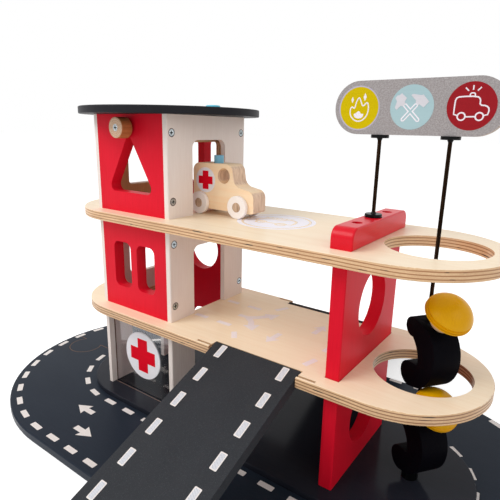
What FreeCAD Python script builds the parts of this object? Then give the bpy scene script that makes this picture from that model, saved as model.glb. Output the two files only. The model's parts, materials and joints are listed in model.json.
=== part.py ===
import FreeCAD, Part
import Sketcher
import math
import os

# Toy fire station in painted and natural plywood: a road base in two halves, a plinth, two decks
# on a lift tower and a red board, a sign on two rods, a lift cabin on a winch, two ramps that
# hinge in the lower deck, an ambulance that rolls and two figures that slide down a pole.
# Frame: millimetres, +X to the right, +Y to the back, +Z up, origin at the middle of the underside.

V = FreeCAD.Vector
document = FreeCAD.newDocument("toy_fire_station")
sheet = document.addObject("Spreadsheet::Sheet", "Sizes")

# Driving dimensions, lengths in millimetres and angles in degrees

SIZES = {
    # base and plinth
    "base_span": 289.0, "base_radius": 163.5, "base_thick": 9.0, "base_round": 1.5,
    "seam_gap": 0.3, "tab_radius": 20.5, "tab_place": 269.5, "tab_inset": 13.0,
    "plinth_thick": 6.0, "plinth_round": 0.8,
    # decks and storeys
    "ground_storey": 91.5, "storey": 95.5, "ply": 9.0, "deck_round": 0.7,
    "deck_left": 138.5, "deck_right": 155.0, "deck_radius": 73.0,
    "pole_place": 175.0, "pole_hole": 39.0,
    # tower boards
    "tower_left": 158.0, "tower_wide": 105.0, "tower_deep": 116.0,
    "side_wall": 5.5, "wall_round": 1.2, "red_board": 12.0,
    "door_wide": 49.5, "door_high": 72.5, "door_corner": 8.0,
    "window_low": 23.2, "window_high": 72.2, "window_corner": 7.0, "side_window": 49.0,
    "window_wide": 26.0, "window_post": 9.0,
    "triangle_low": 20.5, "triangle_wide": 68.0, "triangle_lean": 59.6,
    "triangle_foot": 6.0, "triangle_tip": 4.0,
    "port_radius": 25.0, "port_height": 48.0, "arch_wide": 56.0, "arch_high": 73.0,
    # roof
    "roof_radius": 92.0, "roof_thick": 7.0, "roof_round": 1.0,
    "light_radius": 8.0, "light_high": 4.8, "light_round": 2.0, "light_place": 30.9,
    # clear pane
    "pane_thick": 2.0, "pane_inset": 8.0, "groove_deep": 2.5, "groove_play": 0.15,
    # screws
    "screw_inset": 16.2, "screw_head": 3.3, "screw_shank": 1.6, "screw_long": 20.0,
    "screw_play": 0.05, "slot_long": 3.6, "slot_wide": 0.9, "slot_deep": 1.1,
    # red support board and its cap block
    "support_place": 122.5, "support_hole": 28.5, "support_play": 0.4, "support_port": 48.5,
    "cap_wide": 18.0, "cap_high": 16.5, "cap_end": 8.5, "cap_round": 1.2,
    "cap_hole": 4.25, "cap_hole_deep": 10.0, "cap_hole_place": 31.7,
    # rods, flanges and sign
    "rod_radius": 1.5, "rod_fit": 0.05, "rod_grip": 10.0, "rod_foot": 5.0,
    "flange_radius": 6.9, "flange_high": 2.8, "flange_neck": 2.3, "neck_high": 1.5,
    "flange_round": 0.5, "foot_high": 9.4,
    "sign_shift": 1.05, "sign_height": 321.5, "sign_past": 16.25, "sign_radius": 20.0,
    "sign_thick": 9.0, "sign_cap_high": 2.6,
    # ramps and their pins
    "notch_place": 53.5, "notch_wide": 90.0, "notch_deep": 12.0, "ramp_play": 1.0,
    "ramp_thick": 9.0, "ramp_slope": 21.3, "rear_slope": 25.0, "ramp_gap": 0.3,
    "ramp_lip": 1.2, "ramp_meets": 7.0, "kerf_long": 16.0, "floor_play": 0.3,
    "pin_radius": 1.0, "pin_place": 3.5, "pin_cover": 3.0, "pin_past": 12.0, "pin_play": 0.2,
    # lift cabin and winch
    "cabin_ply": 6.0, "cabin_play": 0.7, "cabin_high": 82.0, "cabin_inset": 7.5,
    "cabin_door": 68.0, "cabin_corner": 4.0, "cabin_window": 52.0, "cabin_sill": 23.0,
    "knob_radius": 9.7, "knob_long": 12.7, "knob_gap": 2.3, "knob_round": 1.0, "knob_bore": 8.0,
    "shaft_radius": 5.0, "shaft_fit": 0.08, "shaft_height": 82.8, "bearing_deep": 5.0,
    "shaft_end_play": 1.0, "knob_screw_long": 14.0,
    "cord_radius": 0.6, "cord_play": 0.3, "winding_long": 8.0, "knot_radius": 2.2,
    "knot_gap": 0.1,
    # ambulance
    "van_rear": 65.6, "van_long": 75.2, "van_wide": 20.0, "van_low": 5.5, "van_high": 50.5,
    "van_lift": 0.2, "van_foot": 3.0, "van_tail": 8.0, "nose_round": 8.0,
    "hood_front": 27.3, "hood_rear": 28.6, "hood_long": 14.5, "screen_foot": 37.0,
    "screen_foot_place": 24.0, "screen_top": 44.5, "screen_top_place": 25.2,
    "van_roof_place": 31.5, "van_bend": 2.2, "van_brow": 1.4,
    "van_window": 7.5, "van_window_place": 39.4, "van_window_height": 39.2,
    "wheel_radius": 11.0, "wheel_thick": 4.0, "wheel_gap": 0.3, "wheel_round": 0.5,
    "axle_radius": 3.0, "axle_fit": 0.1, "axle_rear": 10.2, "axle_front": 58.1,
    "hub_radius": 4.6, "hub_deep": 1.2, "hub_play": 0.1,
    "van_light_radius": 4.8, "van_light_high": 7.5, "van_light_place": 25.2,
    # figures on the pole
    "figure_wide": 24.0, "figure_turn": 143.0, "figure_fit": 0.3,
    "head_radius": 10.0, "head_back": 17.0, "head_height": 63.0, "head_play": 0.1,
    "helmet_radius": 18.0, "helmet_rim": 3.2, "helmet_dome": 12.6, "helmet_lean": 35.0,
    "helmet_back": 20.2, "helmet_height": 67.8,
    "stand_play": 0.3, "figure_stack": 79.7,
}


class Size:
    """A length that carries its value and the formula that ties it to the sheet."""

    def __init__(self, value, formula):
        self.value = float(value)
        self.formula = formula

    def __add__(self, other):
        other = as_size(other)
        return Size(self.value + other.value, f"({self.formula} + {other.formula})")

    def __radd__(self, other):
        return as_size(other) + self

    def __sub__(self, other):
        other = as_size(other)
        return Size(self.value - other.value, f"({self.formula} - {other.formula})")

    def __rsub__(self, other):
        return as_size(other) - self

    def __mul__(self, other):
        other = as_size(other)
        return Size(self.value * other.value, f"({self.formula} * {other.formula})")

    def __rmul__(self, other):
        return as_size(other) * self

    def __truediv__(self, other):
        other = as_size(other)
        return Size(self.value / other.value, f"({self.formula} / {other.formula})")

    def __neg__(self):
        return Size(-self.value, f"(-1 * {self.formula})")


def as_size(number):
    """Return a plain number as a Size, or the Size itself."""
    if isinstance(number, Size):
        return number
    return Size(number, repr(float(number)))


def sine(angle):
    """Sine of an angle in degrees."""
    return Size(math.sin(math.radians(angle.value)), f"sin({angle.formula})")


def cosine(angle):
    """Cosine of an angle in degrees."""
    return Size(math.cos(math.radians(angle.value)), f"cos({angle.formula})")


def tangent(angle):
    """Tangent of an angle in degrees."""
    return Size(math.tan(math.radians(angle.value)), f"tan({angle.formula})")


class Dimensions:
    """The driving dimensions, written to the sheet and read back as attributes."""

    def __init__(self, values):
        for row, (name, value) in enumerate(values.items(), start=1):
            sheet.set(f"A{row}", name.replace("_", " "))
            sheet.set(f"B{row}", str(value))
            sheet.setAlias(f"B{row}", name)
            setattr(self, name, Size(value, f"Sizes.{name}"))
        document.recompute()


d = Dimensions(SIZES)

# Levels and faces that several pieces share

plinth_top = d.base_thick + d.plinth_thick
lower_under = plinth_top + d.ground_storey
lower_top = lower_under + d.ply
upper_under = lower_top + d.storey
upper_top = upper_under + d.ply
roof_under = upper_top + d.storey
roof_top = roof_under + d.roof_thick

tower_x0 = -d.tower_left
tower_x1 = tower_x0 + d.tower_wide
tower_mid = tower_x0 + d.tower_wide / 2
inner_x0 = tower_x0 + d.side_wall
inner_x1 = tower_x1 - d.side_wall
front_y = -d.tower_deep / 2
back_y = d.tower_deep / 2
inner_y0 = front_y + d.red_board
inner_y1 = back_y - d.red_board

shaft_level = upper_top + d.shaft_height
cap_top = upper_top + d.cap_high
sign_under = d.sign_height - d.sign_radius
pin_offset = d.deck_radius - d.pin_place
pin_level = (lower_top - d.pin_cover * cosine(d.ramp_slope)
             - (d.ramp_meets - d.pin_place + d.pin_cover * sine(d.ramp_slope))
             * tangent(d.ramp_slope))

STOREYS = {
    "ground": (plinth_top, lower_under),
    "middle": (lower_top, upper_under),
    "upper": (upper_top, roof_under),
}

# Helpers

TURNS = {"Z": (V(0, 0, 1), 0), "X": (V(0, 1, 0), 90), "-X": (V(0, 1, 0), -90), "Y": (V(1, 0, 0), -90)}
parts = []


def bind(item, path, length):
    """Tie one property of an object to its formula."""
    item.setExpression(path, as_size(length).formula)


def place(item, x=0, y=0, z=0, axis=None, angle=0):
    """Put an object at x, y, z, turned about an axis by an angle in degrees."""
    if axis is not None:
        rotation = FreeCAD.Rotation(axis, as_size(angle).value)
        item.Placement = FreeCAD.Placement(V(0, 0, 0), rotation)
    for path, length in (("x", x), ("y", y), ("z", z)):
        bind(item, "Placement.Base." + path, length)
    return item


def box(name, x, y, z):
    """A block between pairs of X, Y and Z."""
    item = document.addObject("Part::Box", name)
    bind(item, "Length", x[1] - x[0])
    bind(item, "Width", y[1] - y[0])
    bind(item, "Height", z[1] - z[0])
    return place(item, x[0], y[0], z[0])


def rod(name, start, radius, length, along="Z"):
    """A cylinder that starts at a point and runs along one axis."""
    item = document.addObject("Part::Cylinder", name)
    bind(item, "Radius", radius)
    bind(item, "Height", length)
    axis, angle = TURNS[along]
    return place(item, *start, axis=axis, angle=angle)


def cone(name, start, radii, length, along="Z"):
    """A cone that starts at a point and runs along one axis."""
    item = document.addObject("Part::Cone", name)
    bind(item, "Radius1", radii[0])
    bind(item, "Radius2", radii[1])
    bind(item, "Height", length)
    axis, angle = TURNS[along]
    return place(item, *start, axis=axis, angle=angle)


def ball(name, middle, radius):
    """A ball about a point."""
    item = document.addObject("Part::Sphere", name)
    bind(item, "Radius", radius)
    return place(item, *middle)


def fuse(name, *pieces):
    """One solid from several that overlap or touch."""
    item = document.addObject("Part::MultiFuse", name)
    item.Shapes = list(pieces)
    item.Refine = True
    return item


def cut(name, stock, *tools):
    """The stock without the tools."""
    item = document.addObject("Part::Cut", name)
    item.Base = stock
    item.Tool = tools[0] if len(tools) == 1 else group(name + "_tools", *tools)
    item.Refine = True
    return item


def common(name, first, second):
    """What two solids share."""
    item = document.addObject("Part::Common", name)
    item.Base = first
    item.Tool = second
    return item


def group(name, *pieces):
    """Separate solids under one name."""
    item = document.addObject("Part::Compound", name)
    item.Links = list(pieces)
    return item


def soften(name, stock, radius, wanted):
    """Round the edges of the stock that a test picks."""
    document.recompute()
    numbered = enumerate(stock.Shape.Edges, start=1)
    chosen = [number for number, edge in numbered if wanted(edge)]
    item = document.addObject("Part::Fillet", name)
    item.Base = stock
    item.Edges = [(number, radius.value, radius.value) for number in chosen]
    return item


def level_edge(edge):
    """Whether an edge lies level."""
    return edge.BoundBox.ZLength < 1e-4


def upright_edge(edge):
    """Whether an edge stands upright."""
    size = edge.BoundBox
    return max(size.XLength, size.YLength) < 1e-4


def plane_of(body, role):
    """The origin plane of a body with this role."""
    return [plane for plane in body.Origin.OriginFeatures if plane.Role == role][0]


def quarter(radius):
    """How far a quarter round of this radius bulges from its chord."""
    return radius * (1 - math.sqrt(0.5))


def draw_side(sketch, start, end, bulge):
    """Add one side of an outline; return its number and which of its ends is the start."""
    first = V(start[0].value, start[1].value, 0)
    last = V(end[0].value, end[1].value, 0)
    if bulge is None:
        return sketch.addGeometry(Part.LineSegment(first, last)), 1
    run = last - first
    outward = V(run.y, -run.x, 0).normalize()
    middle = (first + last) * 0.5 + outward * bulge.value
    side = sketch.addGeometry(Part.Arc(first, middle, last))
    across = end[0] - start[0]
    along = end[1] - start[1]
    depth = bulge if bulge.value > 0 else -bulge
    radius = (across * across + along * along) / (8 * depth) + depth / 2
    rule = sketch.addConstraint(Sketcher.Constraint("Radius", side, radius.value))
    sketch.setExpression(f"Constraints[{rule}]", radius.formula)
    return side, 1 if sketch.getPoint(side, 1).distanceToPoint(first) < 1e-6 else 2


def draw(sketch, outline):
    """Add a closed outline of (x, y, bulge) points, each run to the next straight or an arc.

    A bulge is how far the arc stands out from its chord, to the right of the run."""
    points = [(as_size(x), as_size(y)) for x, y, _ in outline]
    bulges = [None if bulge is None else as_size(bulge) for _, _, bulge in outline]
    sides = []
    for number, start in enumerate(points):
        end = points[(number + 1) % len(points)]
        side, at_start = draw_side(sketch, start, end, bulges[number])
        for kind, length in (("DistanceX", start[0]), ("DistanceY", start[1])):
            constraint = Sketcher.Constraint(kind, -1, 1, side, at_start, length.value)
            rule = sketch.addConstraint(constraint)
            sketch.setExpression(f"Constraints[{rule}]", length.formula)
        sides.append((side, at_start))
    for number, (side, at_start) in enumerate(sides):
        next_side, next_start = sides[(number + 1) % len(sides)]
        joint = Sketcher.Constraint("Coincident", side, 3 - at_start, next_side, next_start)
        sketch.addConstraint(joint)


def extruded(name, role, thick, outlines, both_ways=False):
    """A body padded from outlines on one origin plane, the later ones being holes."""
    body = document.addObject("PartDesign::Body", name)
    sketch = body.newObject("Sketcher::SketchObject", name + "_sketch")
    sketch.AttachmentSupport = [(plane_of(body, role), "")]
    sketch.MapMode = "FlatFace"
    for outline in outlines:
        draw(sketch, outline)
    pad = body.newObject("PartDesign::Pad", name + "_pad")
    pad.Profile = sketch
    pad.Midplane = both_ways
    bind(pad, "Length", thick)
    return body


def rectangle(x, y, corner=None):
    """An outline between two X and two Y, its corners rounded if a radius is given."""
    if corner is None:
        return [(x[0], y[0], None), (x[1], y[0], None), (x[1], y[1], None), (x[0], y[1], None)]
    bulge = quarter(corner)
    return [
        (x[0] + corner, y[0], None), (x[1] - corner, y[0], bulge),
        (x[1], y[0] + corner, None), (x[1], y[1] - corner, bulge),
        (x[1] - corner, y[1], None), (x[0] + corner, y[1], bulge),
        (x[0], y[1] - corner, None), (x[0], y[0] + corner, bulge),
    ]


def with_door(x, y, door, height, corner):
    """An outline of a board with a door that is open at its foot."""
    bulge = -quarter(corner)
    head = y[0] + height
    return [
        (x[0], y[0], None), (door[0], y[0], None), (door[0], head - corner, bulge),
        (door[0] + corner, head, None), (door[1] - corner, head, bulge),
        (door[1], head - corner, None), (door[1], y[0], None),
        (x[1], y[0], None), (x[1], y[1], None), (x[0], y[1], None),
    ]


def round_port(x, y, radius):
    """A round window as four quarter arcs."""
    bulge = quarter(radius)
    return [(x + radius, y, bulge), (x, y + radius, bulge),
            (x - radius, y, bulge), (x, y - radius, bulge)]


def middle_pair(width):
    """Two places on either side of the middle plane, a width apart."""
    return (-width / 2, width / 2)


def stadium(name, left, right, radius, level, rounding):
    """A board with two round ends and eased rims, centred on Y."""
    thick = level[1] - level[0]
    middle = box(name + "_middle", (left, right), (-radius, radius), level)
    ends = [rod(f"{name}_end_{number}", (x, 0, level[0]), radius, thick)
            for number, x in enumerate((left, right))]
    board = fuse(name + "_board", middle, *ends)
    return soften(name + "_eased", board, rounding, level_edge)


def keep(name, item):
    """Give a finished piece its name and put it on the list of files."""
    item.Label = name
    parts.append((name, item))
    return item


# Road base, in two halves that lock with round tabs

def base():
    """One stadium split along its length, with the rear half's two tabs in the front half."""
    half = d.base_span / 2
    level = (as_size(0), d.base_thick)
    reach = half + d.base_radius + 1
    deep = d.base_radius + 1
    for name, back in (("base_rear", True), ("base_front", False)):
        board = stadium(name + "_whole", -half, half, d.base_radius, level, d.base_round)
        start = as_size(0) if back else -d.seam_gap
        grown = d.tab_radius if back else d.tab_radius + d.seam_gap
        pieces = [box(name + "_block", (-reach, reach), (start, deep), level)]
        for side in (-1, 1):
            middle = (side * d.tab_place, -d.tab_inset, 0)
            pieces.append(rod(f"{name}_tab_{side + 1}", middle, grown, d.base_thick))
        rear = fuse(name + "_area", *pieces)
        keep(name, common(name, board, rear) if back else cut(name, board, rear))


def pane_range(play):
    """The X and Y ranges of the clear pane, or with some play those of its grooves."""
    middle = front_y + d.pane_inset
    x = (inner_x0 - d.groove_deep - play, inner_x1 + d.groove_deep + play)
    y = (middle - d.pane_thick / 2 - play, middle + d.pane_thick / 2 + play)
    return x, y


def plinth():
    """The dark plinth, with a groove for the pane and a socket for the pole."""
    level = (d.base_thick, plinth_top)
    board = stadium("plinth", -d.deck_left, d.deck_right, d.deck_radius, level, d.plinth_round)
    groove_x, groove_y = pane_range(d.groove_play)
    groove = box("plinth_groove", groove_x, groove_y, (plinth_top - d.groove_deep, plinth_top))
    socket = rod("plinth_socket", (d.pole_place, 0, plinth_top - d.rod_foot),
                 d.rod_radius + d.rod_fit, d.rod_foot)
    keep("plinth", cut("plinth_cut", board, groove, socket))


# Decks

def deck(name, level):
    """A deck board with the lift opening and the round pole opening, and nothing else cut."""
    board = stadium(name, -d.deck_left, d.deck_right, d.deck_radius, level, d.deck_round)
    hole = rod(name + "_hole", (d.pole_place, 0, level[0]), d.pole_hole, d.ply)
    shaft = box(name + "_shaft", (inner_x0, inner_x1), (inner_y0, back_y), level)
    return board, [hole, shaft]


def lower_deck():
    """The lower deck, slotted for the support board, notched for the ramps and their pins."""
    level = (lower_under, lower_top)
    board, tools = deck("lower", level)
    tools.append(box("support_slot", support_x(d.support_play),
                     (front_y - d.support_play, back_y + d.support_play), level))
    left = d.notch_place - d.notch_wide / 2
    right = d.notch_place + d.notch_wide / 2
    groove = d.pin_radius + d.pin_play
    for name, side in (("front", -1), ("rear", 1)):
        edges = sorted((side * d.deck_radius, side * (d.deck_radius - d.notch_deep)),
                       key=lambda size: size.value)
        middle = side * pin_offset
        tools.append(box(name + "_notch", (left, right), edges, level))
        tools.append(box(name + "_kerf", (left - d.kerf_long, right + d.kerf_long),
                         (middle - groove, middle + groove), (pin_level - groove, lower_top)))
    keep("lower_deck", cut("lower_deck", board, *tools))


def upper_deck():
    """The upper deck, with its lift and pole openings."""
    board, tools = deck("upper", (upper_under, upper_top))
    keep("upper_deck", cut("upper_deck", board, *tools))


# Screws

def screw(name, start, along, long, play=None):
    """A countersunk screw with a cross recess, or with some play the bore that takes it."""
    grown = as_size(0) if play is None else play
    head = cone(name + "_head", start, (d.screw_head + grown, d.screw_shank + grown),
                d.screw_head - d.screw_shank, along)
    shank = rod(name + "_shank", start, d.screw_shank + grown, long + grown, along)
    whole = fuse(name, head, shank)
    if play is not None:
        return whole
    bars = []
    for number, (wide, high) in enumerate(((d.slot_long, d.slot_wide), (d.slot_wide, d.slot_long))):
        bars.append(recess(f"{name}_bar_{number}", start, along, wide, high))
    return cut(name + "_crossed", whole, *bars)


def recess(name, start, along, wide, high):
    """One bar of a screw's cross recess."""
    x, y, z = start
    if along == "Y":
        return box(name, (x - wide / 2, x + wide / 2), (y, y + d.slot_deep), (z - high / 2, z + high / 2))
    sides = (x - d.slot_deep, x) if along == "-X" else (x, x + d.slot_deep)
    return box(name, sides, (y - wide / 2, y + wide / 2), (z - high / 2, z + high / 2))


def wall_screw_places():
    """Start and direction of each screw through the side walls into the red boards."""
    places = []
    for storey, (low, high) in STOREYS.items():
        rows = [inner_y1 + d.red_board / 2]
        if storey != "ground":
            rows.append(front_y + d.red_board / 2)
        for y in rows:
            for z in (low + d.screw_inset, high - d.screw_inset):
                places.append(((tower_x0, y, z), "X"))
                places.append(((tower_x1, y, z), "-X"))
    return places


def wall_screws(name, play=None):
    """All the wall screws, or with some play their bores."""
    screws = [screw(f"{name}_{number}", start, along, d.screw_long, play)
              for number, (start, along) in enumerate(wall_screw_places())]
    return group(name, *screws)


# Tower

def window_pair(floor):
    """Two windows side by side in a red board, above one floor."""
    level = (floor + d.window_low, floor + d.window_high)
    inner = d.window_post / 2
    outer = inner + d.window_wide
    return [rectangle((tower_mid - outer, tower_mid - inner), level, d.window_corner),
            rectangle((tower_mid + inner, tower_mid + outer), level, d.window_corner)]


def triangle_window(floor):
    """The triangular window with its three corners rounded."""
    half = d.triangle_wide / 2
    low = floor + d.triangle_low
    tip = low + half * tangent(d.triangle_lean)
    across = cosine(d.triangle_lean)
    rise = sine(d.triangle_lean)
    foot = d.triangle_foot / tangent(d.triangle_lean / 2)
    neck = d.triangle_tip * tangent(d.triangle_lean)
    foot_bulge = d.triangle_foot * (1 - sine(d.triangle_lean / 2))
    tip_bulge = d.triangle_tip * (1 - across)
    return [
        (tower_mid - half + foot, low, None),
        (tower_mid + half - foot, low, foot_bulge),
        (tower_mid + half - foot * across, low + foot * rise, None),
        (tower_mid + neck * across, tip - neck * rise, tip_bulge),
        (tower_mid - neck * across, tip - neck * rise, None),
        (tower_mid - half + foot * across, low + foot * rise, foot_bulge),
    ]


def front_boards(bores):
    """The red boards at the front: two windows in the middle, a triangle above."""
    for storey, windows in (("middle", window_pair(lower_top)),
                            ("upper", [triangle_window(upper_top)])):
        name = "front_board_" + storey
        outer = rectangle((inner_x0, inner_x1), STOREYS[storey])
        board = extruded(name + "_stock", "XZ_Plane", d.red_board, [outer] + windows)
        place(board, 0, inner_y0, 0)
        tools = [bores]
        if storey == "upper":
            tools.append(rod("front_bearing", (tower_mid, front_y, shaft_level),
                             d.shaft_radius + d.shaft_fit, d.red_board, "Y"))
        keep(name, cut(name, board, *tools))


def back_board(bores):
    """The red board at the back, in one piece from the plinth to the roof."""
    half = d.arch_wide / 2
    spring = plinth_top + d.arch_high - half
    bulge = -quarter(half)
    outer = [
        (inner_x0, plinth_top, None), (tower_mid - half, plinth_top, None),
        (tower_mid - half, spring, bulge), (tower_mid, spring + half, bulge),
        (tower_mid + half, spring, None), (tower_mid + half, plinth_top, None),
        (inner_x1, plinth_top, None), (inner_x1, roof_under, None), (inner_x0, roof_under, None),
    ]
    port = round_port(tower_mid, lower_top + d.port_height, d.port_radius)
    board = extruded("back_stock", "XZ_Plane", d.red_board, [outer, port] + window_pair(upper_top))
    place(board, 0, back_y, 0)
    bearing = rod("back_bearing", (tower_mid, inner_y1, shaft_level),
                  d.shaft_radius + d.shaft_fit, d.bearing_deep, "Y")
    keep("back_board", cut("back_board", board, bores, bearing))


def side_walls(bores):
    """Six white walls: doors on the right and on the ground floor, windows on the left above."""
    door = middle_pair(d.door_wide)
    depth = (front_y, back_y)
    for storey, level in STOREYS.items():
        for side, x in (("left", tower_x0), ("right", inner_x1)):
            name = f"{side}_wall_{storey}"
            if side == "left" and storey != "ground":
                window = rectangle(middle_pair(d.side_window),
                                   (level[0] + d.window_low, level[0] + d.window_high),
                                   d.window_corner)
                outlines = [rectangle(depth, level), window]
            else:
                outlines = [with_door(depth, level, door, d.door_high, d.door_corner)]
            wall = place(extruded(name + "_stock", "YZ_Plane", d.side_wall, outlines), x, 0, 0)
            outer_x = tower_x0 if side == "left" else tower_x1
            wall = soften(name + "_eased", wall, d.wall_round, outer_corner(outer_x))
            tools = [bores]
            if storey == "ground":
                groove_x, groove_y = pane_range(d.groove_play)
                tools.append(box(name + "_groove", groove_x, groove_y, level))
            keep(name, cut(name, wall, *tools))


def outer_corner(x):
    """A test for the full-height upright edges on the outer face of a side wall."""
    def test(edge):
        size = edge.BoundBox
        tall = size.ZLength > 0.9 * d.ground_storey.value
        return upright_edge(edge) and tall and abs(size.XMin - x.value) < 1e-3
    return test


def clear_pane():
    """The clear pane at the front of the ground floor, held in grooves on three sides."""
    pane_x, pane_y = pane_range(as_size(0))
    low = plinth_top - d.groove_deep + d.groove_play
    keep("clear_pane", box("clear_pane", pane_x, pane_y, (low, lower_under - d.groove_play)))


def roof():
    """The black roof disc and its blue light."""
    disc = rod("roof_disc", (tower_mid, 0, roof_under), d.roof_radius, d.roof_thick)
    keep("roof_board", soften("roof_board", disc, d.roof_round, level_edge))
    light = rod("light_disc", (tower_mid + d.light_place, d.light_place, roof_top),
                d.light_radius, d.light_high)
    crown = (roof_top + d.light_high).value

    def top_rim(edge):
        return level_edge(edge) and abs(edge.BoundBox.ZMin - crown) < 1e-3

    keep("roof_light", soften("roof_light", light, d.light_round, top_rim))


# Support board, cap block, rods and sign

def support_x(play):
    """The X range of the support board, or with some play that of its slot."""
    half = d.red_board / 2 + play
    return (d.support_place - half, d.support_place + half)


def support_board():
    """The red board that carries the free end of both decks, with a round hole per storey."""
    left, _ = support_x(as_size(0))
    outer = rectangle((front_y, back_y), (plinth_top, upper_under))
    middle = as_size(0)
    holes = [round_port(middle, lower_top + d.support_port, d.support_hole),
             round_port(middle, plinth_top + d.ground_storey / 2, d.support_hole)]
    board = place(extruded("support_stock", "YZ_Plane", d.red_board, [outer] + holes), left, 0, 0)
    keep("support_board", soften("support_board", board, d.wall_round, upright_edge))


def cap_block():
    """The red block on the upper deck with its round ends, two blind holes and a rod socket."""
    left = d.support_place - d.cap_wide / 2
    shoulder = cap_top - d.cap_end
    bulge = quarter(d.cap_end)
    profile = [
        (front_y, upper_top, None), (back_y, upper_top, None),
        (back_y, shoulder, bulge), (back_y - d.cap_end, cap_top, None),
        (front_y + d.cap_end, cap_top, bulge), (front_y, shoulder, None),
    ]
    block = place(extruded("cap_stock", "YZ_Plane", d.cap_wide, [profile]), left, 0, 0)

    def side_rim(edge):
        return edge.BoundBox.XLength < 1e-4

    block = soften("cap_rounded", block, d.cap_round, side_rim)
    tools = [rod("cap_socket", (d.support_place, 0, cap_top - d.rod_grip),
                 d.rod_radius + d.rod_fit, d.rod_grip)]
    for side in (-1, 1):
        tools.append(rod(f"cap_hole_{side + 1}", (d.support_place, side * d.cap_hole_place,
                     cap_top - d.cap_hole_deep), d.cap_hole, d.cap_hole_deep))
    keep("cap_block", cut("cap_block", block, *tools))


def rods():
    """The short rod with its flange, and the pole with the block that it stands in."""
    tops = sign_under + d.rod_grip
    short_foot = cap_top - d.rod_grip
    pole_foot = plinth_top - d.rod_foot
    keep("short_rod", rod("short_rod", (d.support_place, 0, short_foot), d.rod_radius,
                          tops - short_foot))
    keep("pole", rod("pole", (d.pole_place, 0, pole_foot), d.rod_radius, tops - pole_foot))
    keep("rod_flange", flange("rod_flange", d.support_place, cap_top, d.flange_high, 1))
    plate = rod("pole_plate", (d.pole_place, 0, plinth_top), d.flange_radius, d.foot_high)
    bore = rod("pole_bore", (d.pole_place, 0, plinth_top), d.rod_radius + d.rod_fit,
               d.foot_high)
    keep("pole_flange", cut("pole_flange", plate, bore))
    caps = [flange(f"sign_cap_{number}", x, sign_under, d.sign_cap_high, -1)
            for number, x in enumerate((d.support_place, d.pole_place))]
    keep("sign_caps", group("sign_caps", *caps))


def flange(name, x, face, high, up):
    """A black disc against a face with a small cone on its far side, bored for the rod."""
    narrow = d.rod_radius + 3 * d.rod_fit
    neck = (d.flange_neck, narrow) if up > 0 else (narrow, d.flange_neck)
    low = face if up > 0 else face - high
    neck_low = face + high if up > 0 else face - high - d.neck_high
    disc = soften(name + "_disc", rod(name + "_stock", (x, 0, low), d.flange_radius, high),
                  d.flange_round, level_edge)
    whole = fuse(name + "_whole", disc,
                 cone(name + "_neck", (x, 0, neck_low), neck, d.neck_high))
    bore_low = face if up > 0 else face - high - d.neck_high
    bore = rod(name + "_bore", (x, 0, bore_low), d.rod_radius + d.rod_fit, high + d.neck_high)
    return cut(name + "_bored", whole, bore)


def sign():
    """The sign board with round ends, bored from below for both rods."""
    along = (d.support_place + d.pole_place) / 2 - d.sign_shift
    reach = (d.pole_place - d.support_place) / 2 + d.sign_past
    left = along - reach
    right = along + reach
    middle = d.sign_height
    radius = d.sign_radius
    bulge = quarter(radius)
    outline = [
        (left, middle - radius, None), (right, middle - radius, bulge),
        (right + radius, middle, bulge), (right, middle + radius, None),
        (left, middle + radius, bulge), (left - radius, middle, bulge),
    ]
    board = extruded("sign_stock", "XZ_Plane", d.sign_thick, [outline], both_ways=True)
    sockets = [rod(f"sign_socket_{number}", (x, 0, sign_under), d.rod_radius + d.rod_fit, d.rod_grip)
               for number, x in enumerate((d.support_place, d.pole_place))]
    keep("sign_board", cut("sign_board", board, *sockets))


# Lift cabin and winch

def cabin_ranges():
    """The X, Y and Z ranges that the cabin fills at the top of its travel."""
    x = (inner_x0 + d.cabin_play, inner_x1 - d.cabin_play)
    y = (inner_y0 + d.cabin_play, inner_y1 - d.cabin_play)
    floor_under = upper_top - d.cabin_ply
    return x, y, (floor_under, floor_under + d.cabin_high)


def cabin():
    """The cabin: a floor, a left panel with a window, an inset right panel and a top."""
    x, y, z = cabin_ranges()
    floor_top = upper_top
    keep("cabin_floor", box("cabin_floor", x, y, (z[0], floor_top)))
    top_under = z[1] - d.cabin_ply
    window = rectangle(middle_pair(d.cabin_window), (floor_top + d.cabin_sill, top_under),
                       d.cabin_corner)
    panel = extruded("cabin_left", "YZ_Plane", d.cabin_ply, [rectangle(y, (floor_top, z[1])), window])
    keep("cabin_left_panel", place(panel, x[0], 0, 0))
    right_x = x[1] - d.cabin_inset - d.cabin_ply
    door = with_door(y, (floor_top, z[1]), middle_pair(d.cabin_door), top_under - floor_top,
                     d.cabin_corner)
    panel = extruded("cabin_right", "YZ_Plane", d.cabin_ply, [door])
    keep("cabin_right_panel", place(panel, right_x, 0, 0))
    top = box("cabin_top_stock", (x[0] + d.cabin_ply, right_x), y, (top_under, z[1]))
    eye = rod("cord_eye", (cord_x(), 0, top_under), d.cord_radius + d.cord_play, d.cabin_ply)
    keep("cabin_top", cut("cabin_top", top, eye))


def cord_x():
    """Where the hoist cord hangs, tangent to the shaft."""
    return tower_mid + d.shaft_radius + d.cord_radius


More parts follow.
